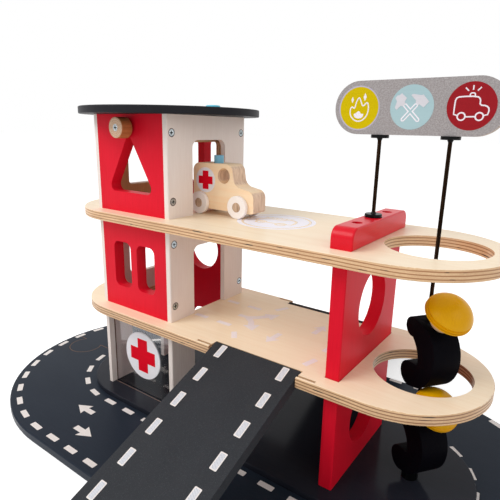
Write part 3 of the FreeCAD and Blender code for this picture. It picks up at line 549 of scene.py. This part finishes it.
for finish, names in dressing.items():
    for name in names:
        slots = frame["nodes"][name].data.materials
        slots.clear()
        slots.append(finish)
        dressed.add(name)
print("not dressed:", sorted(set(frame["nodes"]) - dressed))

# %% [markdown]
# ## Modelling helpers
#
# The printed marks are thin plates: a flat outline is started as a circle with one corner for each
# point, its corners are moved to the outline, and it is extruded a little. A mark that repeats is
# modelled once and copied. Plates are placed as objects, joined with their neighbours, and their
# place is then applied to the mesh, where the frame's pieces keep theirs.

# %% Modelling helpers
PRINT = 0.14
SUNK = 0.06


def only(*chosen):
    """Select these objects and nothing else; the first one is active."""
    bpy.ops.object.select_all(action="DESELECT")
    for item in chosen:
        item.select_set(True)
    bpy.context.view_layer.objects.active = chosen[0]


def edit(*steps):
    """Run steps in edit mode with all of the active mesh selected."""
    bpy.ops.object.mode_set(mode="EDIT")
    bpy.ops.mesh.select_all(action="SELECT")
    for step in steps:
        step()
    bpy.ops.object.mode_set(mode="OBJECT")


def put(made, place, turn=(0, 0, 0)):
    """Move an object to a place in millimetres and turn it by angles in degrees."""
    made.location = [step * MM for step in place]
    made.rotation_euler = [math.radians(angle) for angle in turn]
    return made


def copied(part, place, turn=(0, 0, 0)):
    """A copy of a part, with its own mesh, at another place and turn."""
    only(part)
    bpy.ops.object.duplicate()
    return put(bpy.context.object, place, turn)


def plate(outline, place=(0, 0, 0), turn=(0, 0, 0), thick=PRINT):
    """A flat plate with this outline in millimetres, its underside just below place."""
    bpy.ops.object.select_all(action="DESELECT")
    bpy.ops.mesh.primitive_circle_add(vertices=len(outline), fill_type="NGON")
    made = bpy.context.object
    for vertex, (x, y) in zip(made.data.vertices, outline):
        vertex.co = (x * MM, y * MM, -SUNK * MM)
    lift = {"value": (0, 0, thick * MM)}
    edit(lambda: bpy.ops.mesh.extrude_region_move(TRANSFORM_OT_translate=lift),
         lambda: bpy.ops.mesh.select_all(action="SELECT"),
         lambda: bpy.ops.mesh.normals_make_consistent(inside=False))
    return put(made, place, turn)


def piece(name, parts, finish, body="station"):
    """Join parts into one piece with its place in its mesh, its finish and any body it rides."""
    only(*parts)
    if len(parts) > 1:
        bpy.ops.object.join()
    bpy.ops.object.transform_apply(location=True, rotation=True, scale=True)
    made = bpy.context.object
    made.name = made.data.name = name
    made.data.materials.clear()
    made.data.materials.append(finish)
    if body:
        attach(made, body)
    print(name, "spans", [round(side / MM, 1) for side in made.dimensions], "mm")
    return made


def bar(length, width, cut=0.5):
    """A rectangle's outline with its corners cut."""
    x, y = length / 2, width / 2
    return [(-x + cut, -y), (x - cut, -y), (x, -y + cut), (x, y - cut),
            (x - cut, y), (-x + cut, y), (-x, y - cut), (-x, -y + cut)]


def disc(radius, sides=64):
    """A circle's outline."""
    return [(radius * math.cos(2 * math.pi * side / sides),
             radius * math.sin(2 * math.pi * side / sides)) for side in range(sides)]


def plus(span, arm):
    """A plus sign's outline."""
    far, near = span / 2, arm / 2
    return [(near, near), (far, near), (far, -near), (near, -near), (near, -far), (-near, -far),
            (-near, -near), (-far, -near), (-far, near), (-near, near), (-near, far), (near, far)]


def arrow(length, width, head, shaft):
    """An arrow's outline that points along X, with its tip at the origin."""
    return [(0, 0), (-head, width / 2), (-head + 1, shaft / 2), (-length, shaft / 2),
            (-length, -shaft / 2), (-head + 1, -shaft / 2), (-head, -width / 2)]


print("a print stands", round(PRINT - SUNK, 2), "mm proud")

# %% [markdown]
# ## Road marks on the base
#
# White dashes run around the edge of the base and again around the plinth, each row on a track of
# two half circles and two straights. Walking along such a track in equal steps gives the places
# and the turns. Two arrows show the two lanes at the front, and the same pair is repeated at the
# back, turned by half a turn.

# %% Road marks
def track(half, radius, shift, start, count):
    """Places and turns along two half circles and two straights, clockwise from the front left."""
    arc = math.pi * radius
    whole = 2 * arc + 4 * half
    for number in range(count):
        step = (start + whole * number / count) % whole
        if step < arc:
            angle = -math.pi / 2 - step / radius
            spot = (-half + radius * math.cos(angle), radius * math.sin(angle), angle + math.pi / 2)
        elif step < arc + 2 * half:
            spot = (-half + step - arc, radius, 0)
        elif step < 2 * arc + 2 * half:
            angle = math.pi / 2 - (step - arc - 2 * half) / radius
            spot = (half + radius * math.cos(angle), radius * math.sin(angle), angle + math.pi / 2)
        else:
            spot = (half - (step - 2 * arc - 2 * half), -radius, 0)
        yield spot[0], spot[1] + shift, math.degrees(spot[2])


base_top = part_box("base_front")[1].z / MM
spots = [*track(half=144.5, radius=156.5, shift=3, start=7.5, count=53),
         *track(half=143.4, radius=83.5, shift=3.3, start=15.2, count=37)]
dash = plate(bar(15, 5.6))
marks = [copied(dash, (x, y, base_top), (0, 0, turn)) for x, y, turn in spots]
bpy.data.objects.remove(dash)
lane_arrow = plate(arrow(26, 16, 15, 6), (-151, -105.2, base_top), (0, 0, 180))
marks += [lane_arrow, copied(lane_arrow, (-94, -130, base_top)),
          copied(lane_arrow, (151, 105.2, base_top)),
          copied(lane_arrow, (94, 130, base_top), (0, 0, 180))]
piece("road_marks", marks, white_print)

# %% [markdown]
# ## Dashes on the ramps
#
# A row of dashes runs down each side of both ramps. The ramp's own surface gives the slope: its
# largest triangle that faces upwards is found, and the plates are turned to lie on it.

# %% Ramp dashes
DASH_LONG, DASH_WIDE, DASH_PITCH = 14.4, 6.1, 26.6
DASH_COLUMNS, FIRST_DASH, BARE_FOOT = (21.2, 85.6), 71.4, 12


def hatched(name):
    """Print in fine slanting lines, as the middle of each ramp dash is."""
    made = Finish(name, Roughness=0.55, Specular=0.16)
    slant = made.add(made.along("X"), made.times(made.along("Y"), 0.6))
    stripes = made.ramp(made.maths("SINE", made.times(slant, 5200.0)), -0.6, 0.6)
    dust = made.noise((900, 900, 900), 3)
    made.set("Base Color", made.mix(made.times(stripes, dust), (222, 224, 230), (150, 152, 160)))
    return made.material


def upper_face(name):
    """A point on a node's largest upward face, in millimetres, and its normal."""
    faces = [face for face in frame["nodes"][name].data.polygons if face.normal.z > 0.5]
    best = max(faces, key=lambda face: face.area)
    return best.center / MM, best.normal.copy()


def ramp_marks(node, side):
    """Two rows of dashes on a ramp; side is -1 for the front ramp and 1 for the rear one."""
    point, normal = upper_face(node)
    slope = math.degrees(math.atan2(-normal.y, normal.z))
    foot = abs(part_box(node)[side > 0].y / MM) - BARE_FOOT
    down = DASH_LONG * math.cos(math.radians(slope))
    for part, outline, high, finish in (
            ("edges", bar(DASH_WIDE, DASH_LONG), 0.0, white_print),
            ("middles", bar(DASH_WIDE - 1.8, DASH_LONG - 1.8), 0.05, hatched_print)):
        made = [plate(outline)]
        for column in DASH_COLUMNS:
            y = FIRST_DASH
            while y + down / 2 < foot:
                z = point.z - (side * y - point.y) * normal.y / normal.z + high
                made.append(copied(made[0], (column, side * y, z), (slope, 0, 0)))
                y += DASH_PITCH
        bpy.data.objects.remove(made.pop(0))
        piece(f"{node}_dashes_{part}", made, finish, node)


hatched_print = hatched("hatched_print")
ramp_marks("front_ramp", -1)
ramp_marks("rear_ramp", 1)

# %% [markdown]
# ## Prints on the decks
#
# The lower deck is printed faintly in off-white: dashes, a forked arrow that sends one lane to
# each ramp, and an arrow at each ramp. The upper deck has a round white print beside the tower,
# with a simple drawing of a fire engine in it.

# %% Deck prints
deck_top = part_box("lower_deck")[1].z / MM
marks = []
for x, y, length, turn in ((-41, 26.9, 15, 0), (-12.4, 27.1, 16.5, 0), (13.1, 42.7, 16, 65),
                           (-42.5, -24.9, 16, 0), (-12.4, -25.3, 16.5, 0), (12.3, -40.6, 14, -52),
                           (95.5, -43.7, 15, 76), (96.5, -12, 15, 84)):
    marks.append(plate(bar(length, 5.4), (x, y, deck_top), (0, 0, turn)))
deck_arrow = plate(arrow(23, 14.5, 11, 5.5), (44.5, -34.5, deck_top), (0, 0, -92))
marks += [deck_arrow, copied(deck_arrow, (71.2, 31.1, deck_top), (0, 0, 88))]
fork = [(-14, 4), (-4, 4), (3.5, 9.5), (9, 17), (6, 19.5), (20.5, 26.5), (20, 10.5), (15, 13.5),
        (9.5, 6), (4, 0.8), (9, -3.5), (14, -10.5), (18.5, -7), (20, -22.5), (5.5, -17.5),
        (9, -14.5), (4.5, -7.5), (-4, -1.5), (-14, -1.5)]
marks.append(plate(fork, (0, 0, deck_top)))
piece("deck_marks", marks, deck_print)

# %% [markdown]
# ## Line drawings
#
# The sign's pictures and the round print are drawn in lines of one width. A line is a flat curve
# with a little bevel depth, made a mesh and squeezed flat, which gives round ends and even bends.

# %% Helpers for line drawings
def swept(points, width, kind="POLY", closed=False):
    """A round rod through points in millimetres, made a mesh."""
    bpy.ops.object.select_all(action="DESELECT")
    bpy.ops.curve.primitive_bezier_curve_add()
    drawn = bpy.context.object
    curve = drawn.data
    curve.splines.clear()
    spline = curve.splines.new(kind)
    spline.points.add(len(points) - 1)
    for point, place in zip(spline.points, points):
        point.co = (*[step * MM for step in place], 1)
    spline.use_cyclic_u = closed
    if kind == "NURBS":
        spline.order_u = 3
        spline.use_endpoint_u = True
    curve.bevel_depth = width / 2 * MM
    curve.bevel_resolution = 2
    curve.use_fill_caps = True
    bpy.ops.object.convert(target="MESH")
    return drawn


def line(points, width, place=(0, 0, 0), turn=(0, 0, 0), closed=False):
    """A painted line through points in millimetres, on a surface at place."""
    drawn = swept([(x, y, 0) for x, y in points], width, closed=closed)
    drawn.scale = (1, 1, PRINT / width)
    bpy.ops.object.transform_apply(location=False, rotation=False, scale=True)
    return put(drawn, place, turn)


def rounded(points, closed=True, passes=2):
    """Cut the corners of an outline again and again, so that it bends softly."""
    for _ in range(passes):
        pairs = list(zip(points, points[1:] + points[:1] if closed else points[1:]))
        softer = [] if closed else [points[0]]
        for (x0, y0), (x1, y1) in pairs:
            softer.append((0.75 * x0 + 0.25 * x1, 0.75 * y0 + 0.25 * y1))
            softer.append((0.25 * x0 + 0.75 * x1, 0.25 * y0 + 0.75 * y1))
        points = softer if closed else softer + [points[-1]]
    return points


def moved(points, x, y, size=1.0):
    """The same outline at another place and size."""
    return [(x + size * px, y + size * py) for px, py in points]


engine_outline = [(-15, -7), (-15, 5), (3, 5), (3, 9), (11, 9), (15, 1), (15, -7)]
print("an outline of", len(rounded(engine_outline)), "points")

# %% Round print on the upper deck
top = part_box("upper_deck")[1].z / MM
middle = (27.5, 3, top + 0.07)
piece("upper_deck_roundel", [plate(disc(37.2, 96), (27.5, 3, top), thick=0.12)],
      roundel_print)
lines = [line(disc(32), 2.1, middle, closed=True),
         line(rounded(moved(engine_outline, 0, 0, 1.35), passes=1), 2.6, middle, closed=True)]
for wheel in (-11, 11):
    lines.append(line(moved(disc(4.6, 32), wheel, -10), 2.4, middle, closed=True))
for rail in (13.5, 17):
    lines.append(line([(-20, rail - 4), (10, rail)], 1.5, middle))
for x in range(-17, 13, 5):
    rise = 0.13 * (x + 17)
    lines.append(line([(x, 9.9 + rise), (x, 13.4 + rise)], 1.5, middle))
piece("upper_deck_roundel_lines", lines, upper_birch)

# %% [markdown]
# ## Badges
#
# The pane and both sides of the ambulance carry a white disc with a red plus. The disc is one
# plate, and the plus is a second one a little higher. They face the front, so the plates are
# turned up by a right angle, and for the far side of the ambulance by half a turn as well.

# %% Badges
def badge(name, back, node, x, z, radius, span, arm, body="station"):
    """A white disc with a red plus on a node's front, or on its back."""
    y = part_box(node)[back].y / MM
    turn = (90, 0, 180 * back)
    proud = y + (0.06 if back else -0.06)
    piece(name + "_disc", [plate(disc(radius), (x, y, z), turn)], badge_white, body)
    piece(name + "_plus", [plate(plus(span, arm), (x, proud, z), turn)], badge_red,
          body)


on_pane = ("clear_pane", -106.3, 60, 27.2, 38.8, 15.2)
on_van = ("ambulance_body", -49.4, 254, 12.4, 18.2, 7.6, "ambulance")
badge("pane_badge", False, *on_pane)
badge("pane_badge_back", True, *on_pane)
badge("van_badge_front", False, *on_van)
badge("van_badge_back", True, *on_van)

# %% [markdown]
# ## Rims and a bare line
#
# Each screw in the tower's walls sits in a hole, and the shade in that hole's rim is painted as a
# thin dark ring around it. On the plinth a hairline of bare wood shows in front of the pane.

# %% Screw rims and plinth line
SCREW_INSET = 16.2
# painted shade: a thin dark ring round each screw head, where the hole's rim lies in shade
rim = line(disc(3.6, 24), 0.75, closed=True)
rims = []
for side in ("left", "right"):
    for storey in ("ground", "middle", "upper"):
        low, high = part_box(f"{side}_wall_{storey}")
        face = (low.x if side == "left" else high.x) / MM
        for y in (52,) if storey == "ground" else (-52, 52):
            for z in (low.z / MM + SCREW_INSET, high.z / MM - SCREW_INSET):
                rims.append(copied(rim, (face, y, z), (90, 0, 90)))
bpy.data.objects.remove(rim)
piece("wall_screw_shade_rings", rims, rim_shade)
seam_wood = solid_wood("seam_wood", (150, 116, 96), (110, 80, 66), "X")
piece("plinth_seam", [plate(bar(94, 0.45, 0.1), (TOWER_X, -53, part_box("plinth")[1].z / MM))],
      seam_wood)

# %% [markdown]
# ## The sign's pictures
#
# Three coloured discs stand on the sign: a flame on yellow, crossed axes on pale blue and an
# ambulance on dark red. The pictures here are plain ones of their kind, drawn for this lesson.

# %% Discs on the sign
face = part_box("sign_board")[0].y / MM


def on_sign(mark, x, z, lift=0.12):
    """Stand a plate or a line on the sign's front, lift millimetres before it."""
    return put(mark, (x, face - lift, z), (90, 0, 0))


yellow_print = paint("yellow_print", (208, 184, 0), (198, 174, 0), "X", 0.55, 0.05, shine=0.06)
blue_print = paint("blue_print", (168, 196, 201), (160, 188, 194), "X", 0.55, 0.05)
crimson_print = paint("crimson_print", (152, 16, 28), (142, 12, 24), "X", 0.55, 0.05)
lilac_print = paint("lilac_print", (186, 180, 200), (178, 172, 192), "X", 0.55, 0.05)
line_print = paint("line_print", (240, 234, 240), (230, 224, 232), "X", 0.5, 0.05)
pale_print = paint("pale_print", (214, 212, 218), (204, 202, 208), "X", 0.55, 0.05)
discs = ((105.4, 321.2, 15.7, yellow_print, "yellow_paint", "flame"),
         (146.2, 321.5, 15.9, blue_print, "light_blue_paint", "axes"),
         (186.9, 321.8, 16.1, crimson_print, "red_paint", "ambulance"))
piece("sign_ring", [on_sign(plate(disc(16.7), thick=0.1), 105.3, 321.2, 0)],
      lilac_print)
for x, z, radius, finish, slot, what in discs:
    piece(f"sign_disc_{what}", [on_sign(plate(disc(radius)), x, z, 0.03)], finish)

# %% Flame
x, z = discs[0][:2]
flame = [(-0.4, 8.6), (-2.6, 4.6), (-3.6, -0.8), (-6.2, 1.6), (-7.6, -2), (-6.6, -6.4), (-3, -9.4),
         (0, -10), (3, -9.4), (6.8, -6), (8, 0), (6.6, 5), (3, 0.8), (1.4, 4.6)]
tongue = [(0, -1.6), (-2.6, -4), (-4.4, -4.2), (-3.4, -7), (0, -8), (3.4, -7), (4.2, -4), (2, -4.6)]
spark = [(0, 3), (1.3, 0), (0, -3), (-1.3, 0)]
drawn = [line(rounded(flame), 1.0, closed=True), plate(rounded(tongue)),
         plate(moved(spark, 4.4, 8.2)), plate(moved(spark, -5.8, 6.2, 0.8))]
piece("sign_flame", [on_sign(mark, x, z) for mark in drawn], line_print)

# %% Crossed axes
x, z = discs[1][:2]
left_head = [(-7.9, 10), (-3.9, 6.5), (-5.3, 4.1), (-4.6, 2.6), (-6.6, 0.6), (-7.9, 1.2),
             (-11, -1.8), (-12.4, 0), (-11.1, 4.3), (-12.6, 6.7), (-10.9, 8.5), (-9.6, 8.5)]
right_head = [(-1, 8.5), (0.4, 9.3), (6.5, 8.3), (7.9, 8.7), (12.3, 3.7), (8.7, -0.2), (5.4, 2),
              (4.8, 1.2), (2.6, 3.4), (2.9, 4.7)]


def leaning(start, end, width, short=0.0):
    """A bar from one point towards another, shorter at both ends by short."""
    long = math.dist(start, end) - 2 * short
    lean = math.atan2(end[1] - start[1], end[0] - start[0])
    return [(start[0] + (px + short) * math.cos(lean) - py * math.sin(lean),
             start[1] + (px + short) * math.sin(lean) + py * math.cos(lean))
            for px, py in moved(bar(long, width, width / 3), long / 2, 0)]


handles, insides, heads = [], [], []
for lift, start, end, head in ((0.12, (-5.8, 2.4), (6.2, -10), left_head),
                               (0.13, (4.1, 2.4), (-6.7, -9.8), right_head)):
    handles.append(on_sign(plate(leaning(start, end, 3.1)), x, z, lift))
    insides.append(on_sign(plate(leaning(start, end, 1.3, 0.9)), x, z, lift + 0.06))
    heads.append(on_sign(plate(head), x, z, lift + 0.08))
piece("sign_axe_handles", handles, line_print)
piece("sign_axe_insides", insides, blue_print)
piece("sign_axe_heads", heads, pale_print)

# %% Little ambulance
x, z = discs[2][:2]
van = [(-10.9, -7.2), (-10.9, 0), (-10.6, 5.2), (-8, 6.4), (3.2, 6.4), (5.4, 4.4), (5.2, 0.6),
       (9.6, 0.2), (11.6, -2), (10.6, -6.8)]
lamp = [(-1.6, 6), (-1.6, 8.6), (1.6, 8.6), (1.6, 6)]
drawn = [on_sign(line(rounded(van, passes=1), 1.0, closed=True), x, z)]
for wheel in (-5.8, 5.8):
    drawn.append(on_sign(plate(disc(3.0, 32)), x + wheel, z - 6.8, 0.13))
drawn.append(on_sign(line(rounded(lamp, False), 0.9), x, z))
for ray in ([(0, 10.6), (0, 13.6)], [(-2.8, 10), (-5, 12.2)], [(2.8, 10), (5, 12.2)]):
    drawn.append(on_sign(line(ray, 0.9), x, z))
piece("sign_ambulance", drawn, line_print)
hubs = [on_sign(plate(disc(2.0, 32)), x + wheel, z - 6.8, 0.2) for wheel in (-5.8, 5.8)]
piece("sign_ambulance_hubs", hubs, crimson_print)

# %% [markdown]
# ## Figures
#
# Each figure is a curled black body, a wooden head and a yellow helmet. The body of the frame has
# sharp edges, so a copy of it is merged, its edges are bevelled, and it takes the node's place.
# The helmet is turned on a lathe in one profile: a rim, a groove above it and a dome that ends in
# a small point. It is modelled upright, spun, and then leaned back as on the real thing.

# %% Figure bodies
def eased_body(who):
    """A copy of a figure's body with its sharp edges rounded; it stands in for the node."""
    source = frame["nodes"][f"{who}_figure_body"]
    made = source.copy()
    made.data = source.data.copy()
    made.parent = None
    bpy.context.scene.collection.objects.link(made)
    only(made)
    edit(lambda: bpy.ops.mesh.remove_doubles(threshold=0.01 * MM),
         lambda: bpy.ops.mesh.dissolve_limited(angle_limit=math.radians(1)))
    rounding = made.modifiers.new("edges", "BEVEL")
    rounding.width = 0.7 * MM
    rounding.segments = 3
    rounding.limit_method = "ANGLE"
    rounding.angle_limit = math.radians(35)
    bpy.ops.object.modifier_apply(modifier="edges")
    bpy.ops.object.shade_smooth_by_angle(angle=math.radians(40))
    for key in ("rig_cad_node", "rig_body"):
        if key in made:
            del made[key]
    made = piece(f"{who}_firefighter_body", [made], figure_black, f"{who}_figure")
    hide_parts(f"{who}_figure_body")


for who in ("lower", "upper"):
    eased_body(who)

# %% Helmets
def lathe(profile, steps=64):
    """Turn a profile of (radius, height) in millimetres around the Z axis."""
    bpy.ops.object.select_all(action="DESELECT")
    bpy.ops.mesh.primitive_circle_add(vertices=len(profile))
    made = bpy.context.object
    for vertex, (radius, height) in zip(made.data.vertices, profile):
        vertex.co = (radius * MM, 0, height * MM)
    edit(lambda: bpy.ops.mesh.spin(steps=steps, angle=2 * math.pi, center=(0, 0, 0),
                                   axis=(0, 0, 1)),
         lambda: bpy.ops.mesh.select_all(action="SELECT"),
         lambda: bpy.ops.mesh.remove_doubles(threshold=0.005 * MM),
         lambda: bpy.ops.mesh.normals_make_consistent(inside=False))
    bpy.ops.object.shade_smooth_by_angle(angle=math.radians(30))
    return made


def dome_profile(radius, rim, dome, hollow):
    """A helmet's section: rim, groove, dome with a small point, and the hollow under it."""
    ball = (radius * radius / dome + dome) / 2
    middle = rim + dome - ball
    start = math.asin((rim + 0.6 - middle) / ball)
    outer = [(radius - 0.3, 0.0), (radius, 0.35), (radius, rim - 1.7), (radius - 1.5, rim - 1.4),
             (radius - 1.5, rim - 0.8), (radius - 0.1, rim - 0.5), (radius - 0.15, rim - 0.2),
             (radius - 1.4, rim + 0.1), (radius - 1.4, rim + 0.6)]
    for step in range(1, 30):
        angle = start + (math.pi / 2 - start) * (step + 1.2) / 36
        mark = ball + (0.03 if step % 2 else -0.03)
        outer.append((mark * math.cos(angle), middle + mark * math.sin(angle)))
    for away in (2.7, 2.2, 1.7, 1.2):
        height = middle + math.sqrt(ball * ball - away * away)
        outer += [(away, height - 0.07), (away - 0.25, height + 0.05)]
    outer += [(0.6, rim + dome + 0.12), (0.0, rim + dome + 0.3)]
    inner = [(0.0, hollow), (hollow * 0.7, hollow * 0.9), (hollow * 1.1, hollow * 0.45),
             (hollow * 1.3, 0.0)]
    return outer + inner


LEAN, TURN = 35, 143
pole_low, pole_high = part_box("pole")
pole_x = (pole_low.x + pole_high.x) / 2 / MM
helmet = put(lathe(dome_profile(18.0, 3.2, 12.4, 8.5)), (-20.2, 0, 67.8), (0, -LEAN, 0))
only(helmet)
bpy.ops.object.transform_apply(location=True, rotation=True, scale=True)
for who in ("lower", "upper"):
    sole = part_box(f"{who}_figure_body")[0].z / MM
    made = piece(f"{who}_firefighter_helmet", [copied(helmet, (pole_x, 0, sole), (0, 0, TURN))],
                 helmet_yellow, f"{who}_figure")
    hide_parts(f"{who}_figure_helmet")
bpy.data.objects.remove(helmet)

# %% [markdown]
# ## Cord, winding and knot
#
# A thin white cord lifts the cabin. It is wound on the shaft in close turns, hangs down to the
# cabin's top board and is knotted below it. The winding is a spiral curve with a round section.
# The hanging length gets longer as the cabin goes down; here it is two twisted strands,
# attached to neither body.

# %% Cord
def cord(points, width, kind="NURBS"):
    """A length of cord through points in millimetres."""
    drawn = swept(points, width, kind)
    bpy.ops.object.shade_smooth()
    return drawn


TURNS, STEPS, REEL = 6, 16, 5.65
spiral = []
for step in range(TURNS * STEPS + 1):
    angle = 2 * math.pi * step / STEPS
    spiral.append((TOWER_X + REEL * math.cos(angle), 8.2 - 7.6 * step / (TURNS * STEPS),
                   WINCH_Z + REEL * math.sin(angle)))
winding = piece("wound_cord", [cord(spiral, 1.25)], cord_white, "winch")
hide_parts("cord_winding")

# %% Hanging cord and knot
cord_low, cord_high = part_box("hoist_cord")
cord_x = (cord_low.x + cord_high.x) / 2 / MM
top = cord_high.z / MM - 0.4
length = top - cord_low.z / MM
strands = []
for phase in (0, math.pi):
    twist = [(phase + step * 0.7, top - length * step / 24) for step in range(25)]
    strands.append(cord([(cord_x + 0.26 * math.cos(angle), 0.26 * math.sin(angle), z)
                         for angle, z in twist], 0.66, "POLY"))
hanging = piece("lift_cord", strands, cord_white, None)
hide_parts("hoist_cord")
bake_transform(hanging)

knot_low, knot_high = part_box("cord_knot")
knot = (knot_low + knot_high) / 2 / MM
loops = []
for number, (tip, spin) in enumerate(((0, 0), (70, 40), (110, -50))):
    bpy.ops.object.select_all(action="DESELECT")
    bpy.ops.mesh.primitive_torus_add(major_radius=1.35 * MM, minor_radius=0.62 * MM,
                                     major_segments=24, minor_segments=10)
    loops.append(put(bpy.context.object, knot, (tip, 15 * number, spin)))
tail = [(knot.x, 0, knot.z + 2), (knot.x + 0.3, 0.2, knot.z), (knot.x - 0.2, 0, knot.z - 2.1)]
loops.append(cord(tail, 1.1))
tied = piece("tied_knot", loops, cord_white, "lift_cabin")
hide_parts("cord_knot")

# %% [markdown]
# ## Floor, world and lamps
#
# The photograph has a white ground with a soft shadow. The floor is a large pale plane; for the
# camera and for reflections it glows a little, so that it runs out to white while the shadow
# stays. The world is white in the same way, and dimmer as a light. One large soft lamp stands to
# the front left and above, and a weak one to the right, because the boards that look to the right
# are clearly darker in the photograph.

# %% Floor and world
def seen(tree):
    """1 for rays that the camera sends, and for those mirrored or let through."""
    rays = tree.nodes.new("ShaderNodeLightPath")
    total = rays.outputs["Is Camera Ray"]
    for name in ("Is Glossy Ray", "Is Transmission Ray"):
        add = tree.nodes.new("ShaderNodeMath")
        add.operation = "ADD"
        add.use_clamp = True
        tree.links.new(total, add.inputs[0])
        tree.links.new(rays.outputs[name], add.inputs[1])
        total = add.outputs[0]
    return total


def ray_mix(tree, light, view):
    """A value for lighting and another for what is seen."""
    made = tree.nodes.new("ShaderNodeMapRange")
    tree.links.new(seen(tree), made.inputs["Value"])
    made.inputs["To Min"].default_value = light
    made.inputs["To Max"].default_value = view
    return made.outputs[0]


bpy.ops.object.select_all(action="DESELECT")
bpy.ops.mesh.primitive_plane_add(size=30, location=(0, 0, -0.0002))
floor = bpy.context.object
floor.name = "studio_floor"
ground = Finish("studio_floor", Base_Color=(0.86, 0.86, 0.86, 1), Roughness=0.9, Specular=0.1,
                Emission_Color=(1, 1, 1, 1))
ground.set("Emission Strength", ray_mix(ground.tree, 0.0, 0.5))
floor.data.materials.append(ground.material)

world = bpy.data.worlds.new("studio")
bpy.context.scene.world = world
world.use_nodes = True
tree = world.node_tree
background = tree.nodes["Background"]
background.inputs["Color"].default_value = (1, 1, 1, 1)
tree.links.new(ray_mix(tree, 0.64, 1.0), background.inputs["Strength"])
print("floor and world ready")

# %% Lamps
def soft_lamp(name, place, size, power, target=(0, 0, 0.16)):
    """A square lamp that faces the target."""
    bpy.ops.object.light_add(type="AREA", location=place)
    lamp = bpy.context.object
    lamp.name = name
    lamp.data.size = size
    lamp.data.energy = power
    lamp.rotation_euler = (Vector(target) - Vector(place)).to_track_quat("-Z", "Y").to_euler()
    return lamp


soft_lamp("front_left_lamp", (-1.0, -1.5, 1.9), 1.3, 32)
soft_lamp("right_lamp", (1.9, -0.6, 1.2), 1.2, 5)
bpy.context.scene.view_settings.view_transform = "Standard"
print("lamps ready")
